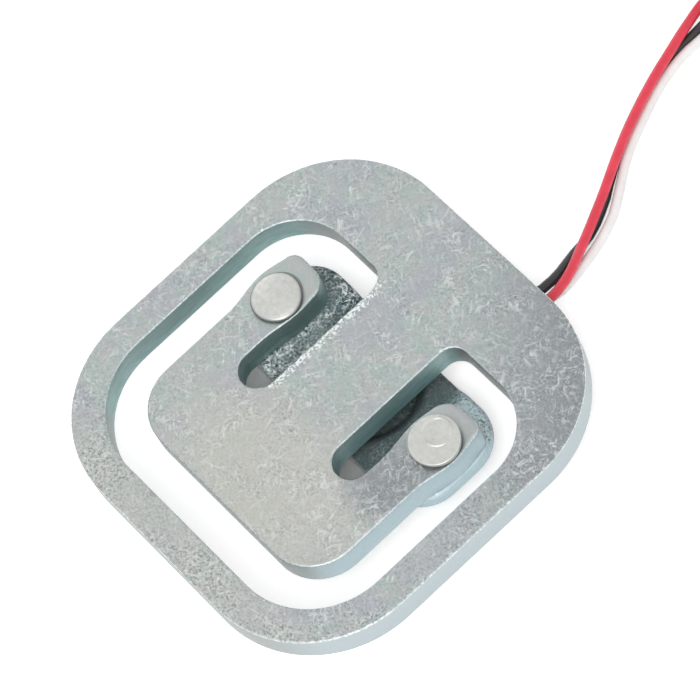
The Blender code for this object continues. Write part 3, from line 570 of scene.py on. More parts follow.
def zinc_plated_steel(name, settings, pressed):
    """Cold-rolled steel, blanked and zinc-plated. The faces keep the dull grain of the sheet, in specks
    and crossed streaks of 0.2 to 0.6 mm, with cloudy tints some millimetres across, pits and small
    clusters of rubs from tumbling. The sheared walls are smooth and bluer, darker in the opening and on
    the walls that face along y as painted shade, and paler at the right as painted light, and the edges
    are rubbed pale, with a painted highlight along them. The pressed plate is duller and coarser, with
    painted shade where the slots show it and painted light at its right end, and the spring plate is
    ironed smooth round its rivets and has painted shade at its far corner and round the rivet heads. The
    specks are drawn about twice as coarse as the real ones, so that they show."""
    made, tree, shader, place = new_material(name)
    at = plating_ground(tree, place, settings.grain)

    # Where the surface is a face, and how rough the riveting tool left it round the rivets
    steepest = (0.25, 0.60) if pressed else (0.55, 0.97)
    is_face = add_node(tree, "MapRange", (at.level, *steepest), **SMOOTH)
    if pressed:
        rim = (at.out, BRIDGE_HALF - 0.0004, BRIDGE_HALF - 0.0008)
        rim = add_node(tree, "MapRange", rim, **SMOOTH)
        is_face = add_node(tree, "Math", (is_face, rim), operation="MULTIPLY")
    flat_place = add_node(tree, "CombineXYZ", {"X": at.out, "Y": at.along})
    arm_end = (RIVET[0] + 0.0002, RIVET[1] + 0.0024, 0.0)
    away = add_node(tree, "VectorMath", (flat_place, arm_end), output="Value", operation="DISTANCE")
    ironed = (away, *IRONED_REACH, 1.0, 1.0 if pressed else 0.15)
    grainy = add_node(tree, "MapRange", ironed, **SMOOTH)
    rub = tumbling_rubs(tree, at, grainy)
    base, rich = plated_face(tree, settings, at, rub, grainy, pressed)
    wall = sheared_wall(tree, settings, at)
    base = add_node(tree, "Mix", {0: is_face, 6: wall, 7: base}, output=2, data_type="RGBA")

    # The pale rolled edge between wall and face, rubbed pale and painted as a highlight, and the burr with
    # its painted highlight
    rolled = add_node(tree, "MapRange", (at.level, 0.12, 0.5), **SMOOTH)
    not_face = add_node(tree, "Math", (1.0, is_face), operation="SUBTRACT")
    edge = add_node(tree, "Math", (rolled, not_face), operation="MULTIPLY")
    bright = (at.speck, 0.38, 0.62, 0.15, 0.0 if pressed else 0.95)
    bright = add_node(tree, "MapRange", bright, **SMOOTH)
    bright = add_node(tree, "Math", (bright, edge), operation="MULTIPLY")
    if not pressed:
        bright = add_node(tree, "Math", (bright, burr_with_highlight(tree, at)), operation="MAXIMUM")
    base = {0: bright, 6: base, 7: linear(settings.rubbed_edge_highlight)}
    base = add_node(tree, "Mix", base, output=2, data_type="RGBA")
    tree.links.new(base, shader.inputs["Base Color"])
    shader.inputs["Metallic"].default_value = 1.0

    # The specks and rubs in the gloss and in the relief
    dry = 0.14 if pressed else 0.0
    rough = add_node(tree, "MapRange", (at.speck, 0.3, 0.7, 0.58 + dry, 0.46 + dry))
    rough = add_node(tree, "Math", (rub, -0.12, rough), operation="MULTIPLY_ADD")
    tree.links.new(rough, shader.inputs["Roughness"])
    height = add_node(tree, "Math", (at.streak, rich), operation="MULTIPLY")
    height = add_node(tree, "Math", (at.speck, rich, height), operation="MULTIPLY_ADD")
    height = add_node(tree, "Math", (rub, -0.3, height), operation="MULTIPLY_ADD")
    bump = {"Strength": 0.6, "Distance": 0.00007 if pressed else 0.00005, "Height": height}
    tree.links.new(add_node(tree, "Bump", bump), shader.inputs["Normal"])
    return made


def mottled(name, light, shade, grain, roughness, depth=0.00003, metallic=0.0, ior=None):
    """An even finish with two close tones in specks of one size, and a slight unevenness."""
    made, tree, shader, place = new_material(name)
    tone = {"Vector": place, "Scale": 1 / grain, "Detail": 4.0, "Roughness": 0.6}
    tone = add_node(tree, "TexNoise", tone)
    share = add_node(tree, "MapRange", (tone, 0.32, 0.68), **SMOOTH)
    base = {0: share, 6: linear(shade), 7: linear(light)}
    base = add_node(tree, "Mix", base, output=2, data_type="RGBA")
    tree.links.new(base, shader.inputs["Base Color"])
    shader.inputs["Metallic"].default_value = metallic
    if ior:
        shader.inputs["IOR"].default_value = ior
    rough = add_node(tree, "MapRange", (tone, 0.3, 0.7, roughness + 0.06, roughness - 0.06))
    tree.links.new(rough, shader.inputs["Roughness"])
    bump = add_node(tree, "Bump", {"Strength": 0.3, "Distance": depth, "Height": tone})
    tree.links.new(bump, shader.inputs["Normal"])
    return made, shader


def rivet_steel(settings):
    """Cold-headed and nickel-plated rivet wire: warmer and smoother than the zinc, with the soft dull
    marks of the closing tool, about 0.5 mm across, and painted shade in the corner under the head."""
    light, shade = settings.rivet_colour, settings.rivet_shade
    made, shader = mottled("nickel_plated_rivet_steel", light, shade, 0.0005, 0.46, 0.00004, metallic=1.0)
    tree = made.node_tree
    place = add_node(tree, "TexCoord", output="Object")
    height = add_node(tree, "SeparateXYZ", {"Vector": place}, output="Z")
    seat = PLATE_HIGH.z
    # Painted shade: the head's wall darkens towards its foot, where the head meets the plate
    painted_shade = (height, seat + 0.00042, seat + 0.00022, 0.0, 0.85)
    painted_shade = add_node(tree, "MapRange", painted_shade, **SMOOTH)
    above = add_node(tree, "MapRange", (height, seat - 0.0003, seat - 0.0001))
    painted_shade = add_node(tree, "Math", (painted_shade, above), operation="MULTIPLY")
    unshaded = shader.inputs["Base Color"].links[0].from_socket
    base = {0: painted_shade, 6: unshaded, 7: linear(settings.painted_shade)}
    base = add_node(tree, "Mix", base, output=2, data_type="RGBA")
    tree.links.new(base, shader.inputs["Base Color"])
    return made


def pvc_insulation(colour_name, hex_colour, hex_shade):
    """Extruded PVC on a thin lead: an even colour, a soft shine and a faint waviness each 1 mm or so."""
    return mottled(f"{colour_name}_extruded_pvc", hex_colour, hex_shade, 0.0011, 0.38, 0.00004, ior=1.53)[0]


def tinned_copper():
    """Stranded copper dipped in tin: silver-grey, a little streaked at 0.3 mm."""
    return mottled("tin_dipped_copper_strands", "#C6C5C1", "#A9A8A3", 0.0003, 0.33, metallic=1.0)[0]


def tin_solder():
    """Solder melted over a tab and left to set: bright, with a slightly dull skin in 0.4 mm patches."""
    return mottled("melted_tin_solder", "#C9C9C7", "#B2B3B2", 0.0004, 0.26, metallic=1.0)[0]


def constantan_foil():
    """Rolled and etched constantan, 5 microns thick: pinkish grey and satin, with grain at 0.2 mm."""
    return mottled("etched_constantan_foil", "#C2A98E", "#A98F76", 0.0002, 0.33, metallic=1.0)[0]


def polyimide_film():
    """Cast polyimide, the amber backing of the gauge: clear brown-yellow and smooth."""
    return mottled("cast_polyimide_film", "#CF8A2C", "#B5701C", 0.0020, 0.24, ior=1.70)[0]


def white_silicone():
    """Room-temperature silicone, squeezed on and smoothed: milky, soft and uneven over 2 mm or so."""
    made, shader = mottled("squeezed_white_silicone", "#ECEAE5", "#DAD8D2", 0.0020, 0.44, 0.00010, ior=1.41)
    shader.inputs["Subsurface Weight"].default_value = 0.2
    shader.inputs["Subsurface Radius"].default_value = (0.0008, 0.0007, 0.0006)
    shader.inputs["Subsurface Scale"].default_value = 1.0
    return made


def band_plastic():
    """Moulded natural polyethylene: milky and waxy, with flow marks about 1 mm across."""
    return mottled("moulded_polyethylene_band", "#DEDED8", "#CFCFC8", 0.0011, 0.38, ior=1.51)[0]


def arc(centre, radius, start, end, steps):
    """Points along an arc between two angles in degrees."""
    angles = [math.radians(start + (end - start) * i / steps) for i in range(steps + 1)]
    return [(centre[0] + radius * math.cos(a), centre[1] + radius * math.sin(a)) for a in angles]


def rounded_rectangle(low, high, corner, steps):
    """A rectangle's outline with round corners, counter-clockwise from its right side."""
    return [
        *arc((high[0] - corner, high[1] - corner), corner, 0, 90, steps),
        *arc((low[0] + corner, high[1] - corner), corner, 90, 180, steps),
        *arc((low[0] + corner, low[1] + corner), corner, 180, 270, steps),
        *arc((high[0] - corner, low[1] + corner), corner, 270, 360, steps),
    ]


def even_points(points, step):
    """The points of a closed outline with its long straights cut to the step."""
    made = []
    for a, b in zip(points, points[1:] + points[:1]):
        count = max(1, math.ceil(math.dist(a, b) / step))
        made += [(a[0] + (b[0] - a[0]) * i / count, a[1] + (b[1] - a[1]) * i / count) for i in range(count)]
    return made


def ear(y):
    """How far an arm's edge is spread at y by the pressing of its rivet, from 0 to 1."""
    away = (y - RIVET[1]) / EAR_REACH
    return math.cos(away * math.pi / 2) ** 2 if abs(away) < 1 else 0.0


def ear_edge(x, spread, start, end, steps=20):
    """An arm's edge from one y to another, spread beside its rivet."""
    ys = [start + (end - start) * i / steps for i in range(steps + 1)]
    return [(x + spread * ear(y), y) for y in ys]


def half_opening():
    """The right half of the opening's outline, from the far edge round to the tip bar."""
    foot = RIVET[1] - EAR_REACH
    inside = SLOT_OUTSIDE - EAR_INWARD * ear(ARM_END - ARM_INNER_CORNER)
    outside = TONGUE_HALF + EAR_OUTWARD * ear(ARM_END - ARM_OUTER_CORNER)
    far, root = OPENING_FAR_CORNER, OPENING_ROOT_CORNER
    return [
        (0.0, OPENING_FAR),
        *arc((OPENING_HALF - far, OPENING_FAR + far), far, -90, 0, 28),
        *arc((OPENING_HALF - root, OPENING_ROOT - root), root, 0, 90, 22),
        *arc((BEAM_HALF + ROOT_FILLET, OPENING_ROOT - ROOT_FILLET), ROOT_FILLET, 90, 180, 10),
        *arc((BEAM_HALF + SLOT_RADIUS, SLOT_CENTRE), SLOT_RADIUS, 180, 360, 24),
        *ear_edge(SLOT_OUTSIDE, -EAR_INWARD, foot, ARM_END - ARM_INNER_CORNER)[:-1],
        *arc((inside + ARM_INNER_CORNER, ARM_END - ARM_INNER_CORNER), ARM_INNER_CORNER, 180, 90, 12),
        *arc((outside - ARM_OUTER_CORNER, ARM_END - ARM_OUTER_CORNER), ARM_OUTER_CORNER, 90, 0, 10),
        *ear_edge(TONGUE_HALF, EAR_OUTWARD, ARM_END - ARM_OUTER_CORNER, foot)[1:],
        *arc((TONGUE_HALF - TIP_CORNER, TONGUE_FAR + TIP_CORNER), TIP_CORNER, 0, -90, 18),
        (0.0, TONGUE_FAR),
    ]


def inward_normals(points):
    """At each point of a closed outline, the direction to its left, drawn out at the corners."""
    made = []
    count = len(points)
    for i, point in enumerate(points):
        here = Vector(point)
        before = (here - Vector(points[i - 1])).normalized()
        after = (Vector(points[(i + 1) % count]) - here).normalized()
        first, second = Vector((-before.y, before.x)), Vector((-after.y, after.x))
        made.append((first + second) / max(0.4, 1 + first.dot(second)))
    return made


def join_rings(shape, rings, flipped=False):
    """Smooth quads from each ring of vertices to the next."""
    for first, second in zip(rings, rings[1:]):
        for i in range(len(first)):
            j = (i + 1) % len(first)
            corners = (first[i], first[j], second[j], second[i])
            if flipped:
                corners = (first[i], second[i], second[j], first[j])
            shape.faces.new(corners).smooth = True


def close_ring(shape, ring, middle, order=1):
    """Smooth triangles from a ring of vertices to a new one in its middle."""
    tip = shape.verts.new(middle)
    for i in range(len(ring)):
        corners = (tip, ring[i], ring[(i + 1) % len(ring)])[::order]
        shape.faces.new(corners).smooth = True


def finished_mesh(shape, name, sharp=None, turn_out=True):
    """The shape as a mesh, turned outside out, and sharp where it bends by more than some degrees."""
    if turn_out:
        bmesh.ops.recalc_face_normals(shape, faces=shape.faces)
    mesh = bpy.data.meshes.new(name)
    shape.to_mesh(mesh)
    shape.free()
    if sharp:
        mesh.set_sharp_from_angle(angle=math.radians(sharp))
    return mesh


def new_piece(name, mesh, finish, *nodes):
    """A finished piece that rides with the load cell in place of the CAD nodes that it names."""
    made = bpy.data.objects.new(name, mesh)
    bpy.context.scene.collection.objects.link(made)
    made.data.materials.clear()
    made.data.materials.append(finish)
    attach(made, BODY)
    if nodes:
        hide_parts(*nodes)
    return made


def stamped_plate(name, outlines, low, high, rolled, burr):
    """A blanked plate. rolled gives how far its top edge is rolled in at a point, and burr its lower edge."""
    shape = bmesh.new()
    caps = {high: [], low: []}
    quarter = [math.radians(90 * i / 5) for i in range(6)]
    levels = [("top", 1.25, None), *[("top", None, a) for a in quarter]]
    levels += [("low", None, a) for a in reversed(quarter)] + [("low", 1.25, None)]
    for outline in outlines:
        normals = inward_normals(outline)
        rings = []
        for where, out, angle in levels:
            ring = []
            for point, normal in zip(outline, normals):
                size = rolled(point) if where == "top" else burr
                edge, sign = (high, -1) if where == "top" else (low, 1)
                inset = size * out if out else size * (1 - math.sin(angle))
                drop = 0.0 if out else size * (1 - math.cos(angle)) * 0.8
                place = Vector(point) + normal * inset
                ring.append(shape.verts.new((place.x, place.y, edge + sign * drop)))
            rings.append(ring)
        join_rings(shape, rings, flipped=True)
        caps[high].append(rings[0])
        caps[low].append(rings[-1])
    for level, loops in caps.items():
        flat = [vertex for loop in loops for vertex in loop]
        for a, b, c in tessellate_polygon([[v.co for v in loop] for loop in loops]):
            corners = [flat[a], flat[b], flat[c]]
            across = (corners[1].co - corners[0].co).cross(corners[2].co - corners[0].co)
            if across.z * (1 if level == high else -1) < 0:
                corners.reverse()
            shape.faces.new(corners).smooth = False
    return finished_mesh(shape, name, turn_out=False)


def spring_plate_mesh(settings):
    """The one-piece plate with its frame, root band, beam, tip bar and arms."""
    right = half_opening()
    left = [(-x, y) for x, y in reversed(right[1:-1])]
    half = PLATE_HIGH.x
    outer = rounded_rectangle((-half, -half), (half, half), PLATE_CORNER, 30)
    opening = right + left
    if sum(a[0] * b[1] - b[0] * a[1] for a, b in zip(opening, opening[1:] + opening[:1])) > 0:
        opening.reverse()

    def rolled(point):
        """The arms' ends are rolled further by the tool that closes the rivets, and no edge is even."""
        near = min(math.dist(point, (x, ARM_END - PRESS_BACK)) for x in (-RIVET[0], RIVET[0]))
        inside = abs(point[0]) < TONGUE_HALF + EAR_OUTWARD + 0.0002
        press = max(0.0, 1 - near / PRESS_REACH) if inside and point[1] < ARM_END + 0.0004 else 0.0
        torn = 1.0 if abs(point[0] + BEAM_HALF) < 0.0002 and point[1] < OPENING_ROOT - ROOT_FILLET else 0.0
        uneven = noise.noise(Vector((*point, 0.0)) * 1500) * (0.2 + 1.2 * torn)
        return settings.edge_roll * (1 + 1.4 * torn + uneven) + settings.arm_end_roll * press

    outlines = [even_points(outer, OUTLINE_STEP), even_points(opening, OUTLINE_STEP)]
    return stamped_plate("spring_plate_form", outlines, PLATE_LOW.z, PLATE_HIGH.z, rolled, settings.burr)


def bridge_height(x, y):
    """Height of the bridge plate's lower face: raised ears, bends, the lowered middle and the button."""
    share = min(max((abs(x) - BEND_INSIDE) / (BEND_OUTSIDE - BEND_INSIDE), 0.0), 1.0)
    low = BRIDGE_LOW.z + BUTTON_DEPTH + BRIDGE_DROP * (1 - math.cos(math.pi * share)) / 2
    away = math.hypot(x, y - RIVET[1])
    wall = min(max((away - BUTTON_CROWN) / (BUTTON_FOOT - BUTTON_CROWN), 0.0), 1.0)
    return low - BUTTON_DEPTH * (1 + math.cos(math.pi * wall)) / 2


def bridge_plate_mesh():
    """The hat-shaped plate as rings of quads from its rim in to its middle, the same above and below."""
    centre = Vector((0.0, RIVET[1]))
    half = BRIDGE_WIDTH / 2
    low, high = (-BRIDGE_HALF, RIVET[1] - half), (BRIDGE_HALF, RIVET[1] + half)
    rim = even_points(rounded_rectangle(low, high, BRIDGE_CORNER, 12), 0.0005)
    normals = inward_normals(rim)
    shape = bmesh.new()

    def ring_at(inset, scale, lift):
        """A ring of the plate: the rim moved in, drawn towards the middle and laid on the plate's form."""
        ring = []
        for point, normal in zip(rim, normals):
            place = Vector(point) + normal * inset
            place = centre + (place - centre) * scale
            ring.append(shape.verts.new((place.x, place.y, bridge_height(place.x, place.y) + lift)))
        return ring

    edge, under = BRIDGE_UPPER_EDGE, BRIDGE_LOWER_EDGE
    quarter = [math.radians(90 * i / 4) for i in range(5)]
    scales = [i / 40 for i in range(1, 40)]
    rings = [ring_at(under, scale, 0.0) for scale in scales]
    for angle in quarter:
        rings.append(ring_at(under * (1 - math.sin(angle)), 1.0, under * (1 - math.cos(angle))))
    for angle in reversed(quarter):
        lift = BRIDGE_THICKNESS - edge * (1 - math.cos(angle))
        rings.append(ring_at(edge * (1 - math.sin(angle)), 1.0, lift))
    rings += [ring_at(edge, scale, BRIDGE_THICKNESS) for scale in reversed(scales)]
    join_rings(shape, rings)
    for ring, lift in ((rings[0], 0.0), (rings[-1], BRIDGE_THICKNESS)):
        close_ring(shape, ring, (centre.x, centre.y, bridge_height(centre.x, centre.y) + lift))
    return finished_mesh(shape, "bridge_plate_form")


def turned_mesh(name, profile, place, steps, push):
    """A turned form from (radius, height) points that run from its top middle to its bottom middle.
    push gives how far a point stands off its round place."""
    shape = bmesh.new()
    rings = []
    for radius, height in profile[1:-1]:
        ring = []
        for i in range(steps):
            a = 2 * math.pi * i / steps
            x, y, z = push(radius, height, a)
            x, y = radius * math.cos(a) + x, radius * math.sin(a) + y
            ring.append(shape.verts.new((place[0] + x, place[1] + y, height + z)))
        rings.append(ring)
    join_rings(shape, rings, flipped=True)
    close_ring(shape, rings[0], (place[0], place[1], profile[0][1]))
    close_ring(shape, rings[-1], (place[0], place[1], profile[-1][1]), order=-1)
    return finished_mesh(shape, name, sharp=50, turn_out=False)


def rivet_profile(side, bottom, head):
    """Half the section of a closed rivet, from its head's middle down, and the head's flat radius."""
    seat = PLATE_HIGH.z
    height, shoulder, rise = HEAD_SHAPE[side]
    height += seat
    reach = head - HEAD_ROOM
    flat = reach - shoulder
    profile = [(flat * i / 40, height + rise * (1 - (i / 40) ** 2)) for i in range(40)]
    for i in range(7):
        a = math.radians(90 * i / 6)
        profile.append((flat + shoulder * math.sin(a), height - shoulder * (1 - math.cos(a))))
    foot = seat + HEAD_UNDERCUT
    wall = height - shoulder - foot
    for i in range(1, 5):
        profile.append((reach - 0.00014 * (i / 4) ** 2, height - shoulder - wall * i / 4))
    profile += [(head - 0.00020, seat + 0.00001), (SHANK_RADIUS, seat - 0.00001)]
    under = BRIDGE_HIGH.z - BRIDGE_THICKNESS
    profile += [(SHANK_RADIUS, under), (TAIL_RADIUS, under), (TAIL_RADIUS, under - TAIL_WALL)]
    drop = under - TAIL_WALL - bottom
    for i in range(1, 8):
        a = math.radians(90 * i / 8)
        radius = TAIL_RADIUS - TAIL_CORNER * (1 - math.cos(a))
        profile.append((radius, under - TAIL_WALL - drop * math.sin(a)))
    profile.append((0.0, bottom))
    return profile, flat


def rivet_mesh(side, x):
    """A closed rivet: a low button above, marked by the snap tool, and a wider tail below. The left
    one is pressed to a soft dome, and the right one is flat with a ring pressed off its middle."""
    low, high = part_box(f"rivet_{side}")
    head = (high.x - low.x) / 2 + HEAD_OVER_BOX
    dome = side == "left"
    profile, flat = rivet_profile(side, low.z, head)
    shift, ring_middle = Vector(HEAD_SHIFT[side]), Vector(RING_MIDDLE)

    def pressed(radius, height, angle):
        """The head sits a little off the shank, isn't quite round, and shows the tool's marks."""
        if height < PLATE_HIGH.z + 0.00003:
            return (0.0, 0.0, 0.0)
        place = Vector((radius * math.cos(angle), radius * math.sin(angle)))
        lift = 0.00001 * noise.noise(Vector((*place, 0.4 if dome else 0.8)) * 1800)
        if not dome and radius < flat:
            off = (place - ring_middle).length
            kept = min(max(0.6 + 1.2 * noise.noise(Vector((*place, 0.2)) * 900), 0.0), 1.0)
            lift += RING_HEIGHT * kept * math.exp(-(((off - RING_RADIUS) / RING_WIDTH) ** 2))
            lift -= 0.00002 * max(0.0, 1 - (off / RING_HOLLOW) ** 4)
        if dome and radius < flat:
            lift += 0.00001 * math.exp(-(((radius - flat + 0.00012) / 0.00012) ** 2))
        bulge = 0.00003 * math.cos(2 * angle + 0.9) + 0.00002 * math.cos(3 * angle)
        share = radius / head
        return (
            shift.x + bulge * share * math.cos(angle),
            shift.y + bulge * share * math.sin(angle),
            min(lift, high.z - height),
        )

    return turned_mesh(f"rivet_{side}_form", profile, (x, RIVET[1]), 128, pressed)


def along_curve(places):
    """Close points along the Catmull-Rom curve through some places."""
    before, after = 2 * places[0] - places[1], 2 * places[-1] - places[-2]
    padded = [before, *places, after]
    fine = []
    for a, b, c, d in zip(padded, padded[1:], padded[2:], padded[3:]):
        for i in range(24):
            t = i / 24
            bend = (2 * a - 5 * b + 4 * c - d) * t * t + (3 * b - a - 3 * c + d) * t**3
            fine.append((2 * b + (c - a) * t + bend) / 2)
    fine.append(places[-1])
    return fine


def smooth_route(points, step):
    """Points a step apart along the smooth curve through a route's own points."""
    fine = along_curve([Vector(p) for p in points])
    lengths = [0.0]
    for a, b in zip(fine, fine[1:]):
        lengths.append(lengths[-1] + (b - a).length)
    count = max(2, round(lengths[-1] / step))
    chosen, at = [], 0
    for i in range(count + 1):
        goal = lengths[-1] * i / count
        while at < len(lengths) - 2 and lengths[at + 1] < goal:
            at += 1
        share = (goal - lengths[at]) / (lengths[at + 1] - lengths[at])
        chosen.append(fine[at].lerp(fine[at + 1], min(max(share, 0.0), 1.0)))
    return chosen


def slot_place(slot):
    """Radius and height of a slot of the coil: out along one layer and back along the next."""
    layer, along = divmod(slot, COIL_COLUMNS)
    column = COIL_COLUMNS - 1 - along if layer % 2 == 0 else along
    radius = COIL_RADIUS + (column - (COIL_COLUMNS - 1) / 2) * COLUMN_PITCH
    return Vector((radius, LEAD_RADIUS + layer * LAYER_PITCH))


def coil_route(start_slot, low, high):
    """Points along a lead's turns: it keeps its slot and jogs to the next one three times a turn."""
    made = []
    count = round((high - low) * POINTS_A_TURN)
    for i in range(count + 1):
        turns = low + (high - low) * i / count
        along = 3 * turns + JOG_STAGGER * 3 * ((start_slot + 3 * turns) % COIL_COLUMNS)
        steps = math.floor(along)
        rest = along - steps
        share = min(max((rest - (1 - 3 * JOG)) / (3 * JOG), 0.0), 1.0)
        share = share * share * (3 - 2 * share)
        slot = start_slot + steps
        here, there = slot_place(slot), slot_place(slot + 1)
        radius = here.x + (there.x - here.x) * share
        height = here.y + (there.y - here.y) * share
        angle = 2 * math.pi * turns
        x, y = COIL_CENTRE[0] + radius * math.cos(angle), COIL_CENTRE[1] + radius * math.sin(angle)
        made.append(Vector((x, y, height)))
    return made


def lead_route(colour, step):
    """A lead's whole route: out of the silicone, over the floor to the coil, and round in it."""
    start = (TAB_X[colour], LEAD_START, LEAD_HEIGHT)
    straight = (TAB_X[colour], LEAD_START + LEAD_STRAIGHT, LEAD_HEIGHT)
    x = COIL_CENTRE[0] + COIL_RADIUS + (COIL_COLUMN[colour] - 2) * COLUMN_PITCH
    coil = coil_route(COIL_COLUMNS - 1 - COIL_COLUMN[colour], 0.0, COIL_TURNS)
    run = [start, straight, *ROUTES[colour], (x, COIL_CENTRE[1] - 0.002, LEAD_RADIUS)]
    return smooth_route(run, step) + coil[1:]


def lead_curve(name, points, diameter, rings):
    """A round line of one thickness along the points."""
    curve = bpy.data.curves.new(name, "CURVE")
    curve.dimensions = "3D"
    curve.bevel_depth = diameter / 2
    curve.bevel_resolution = rings
    curve.use_fill_caps = True
    spline = curve.splines.new("POLY")
    spline.points.add(len(points) - 1)
    for point, place in zip(spline.points, points):
        point.co = (*place, 1.0)
    spline.use_smooth = True
    return curve


def strand_mesh(name, points, diameter):
    """Twisted and tinned strands along a line: six strands round a core, their grooves filled with tin."""
    shape = bmesh.new()
    rings = []
    run = 0.0
    for i, point in enumerate(points):
        ahead = (points[min(i + 1, len(points) - 1)] - points[max(i - 1, 0)]).normalized()
        across = ahead.cross(Vector((0.0, 0.0, 1.0))).normalized()
        upward = across.cross(ahead)
        run += (point - points[i - 1]).length if i else 0.0
        taper = min(1.0, 0.6 + 0.4 * min(i, len(points) - 1 - i) / 2)
        ring = []
        for s in range(STRAND_SIDES):
            a = 2 * math.pi * s / STRAND_SIDES
            groove = abs(math.cos(3 * (a - 2 * math.pi * run / STRAND_LAY)))
            radius = diameter / 2 * taper * (0.88 + 0.12 * groove)
            place = point + across * radius * math.cos(a) + upward * radius * math.sin(a)
            ring.append(shape.verts.new(place))
        rings.append(ring)
    join_rings(shape, rings)
    shape.faces.new(rings[0][::-1])
    shape.faces.new(rings[-1])
    return finished_mesh(shape, name)


def silicone_depth(x, y, low, high):
    """How deep the silicone is at a place: a wiped pad, and a lump that it swells to, blended."""
    side = PAD_HALF - abs(x) + 0.00008 * noise.noise(Vector((x, y, 0.3)) * 700)
    lump = Vector((LUMP_X, high.y - LUMP_HALF_LENGTH))
    end = min(y - low.y, lump.y - y + 0.0004)
    edge = min(side, end, PAD_EDGE) / PAD_EDGE
    pad = PAD_DEPTH * math.sqrt(max(0.0, 1 - (1 - max(edge, 0.0)) ** 2)) if edge > 0 else 0.0
    round_x, round_y = (x - lump.x) / LUMP_HALF_WIDTH, (y - lump.y) / LUMP_HALF_LENGTH
    inside = 1 - round_x**2 - round_y**2
    drop = LUMP_DEPTH * math.sqrt(inside) if inside > 0 else 0.0
    if max(pad, drop) <= 0:
        return 0.0
    blend = math.log(math.exp(pad / LUMP_BLEND) + math.exp(drop / LUMP_BLEND)) * LUMP_BLEND
    ripple = 0.00005 * noise.noise(Vector((x, y, 0.0)) * 520)
    return min(blend + ripple * min(1.0, blend / 0.0004), high.z - low.z)


def silicone_mesh():
    """The silicone as one uneven skin: a wiped pad along the beam that swells to a lump at its end."""
    low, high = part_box("silicone_cover")
    columns = math.ceil((high.x - low.x) / SILICONE_CELL)
    rows = math.ceil((high.y - low.y) / SILICONE_CELL)
    shape = bmesh.new()
    upper, lower = {}, {}
    for i in range(columns + 1):
        for j in range(rows + 1):
            x, y = low.x + (high.x - low.x) * i / columns, low.y + (high.y - low.y) * j / rows
            deep = silicone_depth(x, y, low, high)
            if deep > SILICONE_THINNEST:
                upper[i, j] = shape.verts.new((x, y, high.z))
                lower[i, j] = shape.verts.new((x, y, high.z - deep))
    rim = {}
    for i in range(columns):
        for j in range(rows):
            keys = [(i, j), (i + 1, j), (i + 1, j + 1), (i, j + 1)]
            if all(key in lower for key in keys):
                shape.faces.new([lower[key] for key in keys[::-1]]).smooth = True
                shape.faces.new([upper[key] for key in keys]).smooth = True
                for a, b in zip(keys, keys[1:] + keys[:1]):
                    if (b, a) in rim:
                        del rim[b, a]
                    else:
                        rim[a, b] = True
    for a, b in rim:
        shape.faces.new((lower[a], lower[b], upper[b], upper[a])).smooth = True
    loose = [v for v in shape.verts if not v.link_faces]
    bmesh.ops.delete(shape, geom=loose, context="VERTS")
    return finished_mesh(shape, "silicone_cover_form")


def band_mesh():
    """The coil's band as a strap of even thickness with softened edges, round the coil's section."""
    hole = COIL_RADIUS - 2 * COLUMN_PITCH - LEAD_RADIUS
    half, thick, soft = BAND_HALF, BAND_THICKNESS, BAND_EDGE
    inside = math.sqrt(hole**2 - half**2) - BAND_GAP
    outside = COIL_RADIUS + 2 * COLUMN_PITCH + LEAD_RADIUS + BAND_GAP
    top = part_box("coil_band")[1].z - thick
    inner = rounded_rectangle((inside, thick), (outside, top), LEAD_RADIUS, 8)
    outer = rounded_rectangle((inside - thick, 0.0), (outside + thick, top + thick), LEAD_RADIUS + thick, 8)
    turn = math.radians(BAND_TURN)
    along, across = Vector((math.cos(turn), math.sin(turn), 0)), Vector((-math.sin(turn), math.cos(turn), 0))
    centre = Vector((*COIL_CENTRE, 0.0))
    near, far = soft / thick, 1.0 - soft / thick
    section = [(near, -half), (0.0, -half + soft), (0.0, half - soft), (near, half)]
    section += [(far, half), (1.0, half - soft), (1.0, -half + soft), (far, -half)]
    shape = bmesh.new()
    rings = []
    for a, b in zip(inner, outer):
        ring = []
        for share, aside in section:
            point = Vector(a).lerp(Vector(b), share)
            place = centre + along * point[0] + across * aside + Vector((0, 0, point[1]))
            ring.append(shape.verts.new(place))
        rings.append(ring)
    join_rings(shape, rings + rings[:1])
    return finished_mesh(shape, "coil_band_form", sharp=60)


def colour_setting(name, description, default):
    """A colour as an sRGB hex value."""
    return bpy.props.StringProperty(name=name, description=description, default=default)


def length_setting(name, description, default):
    """A length in metres."""
    return bpy.props.FloatProperty(name=name, description=description, default=default, unit="LENGTH")


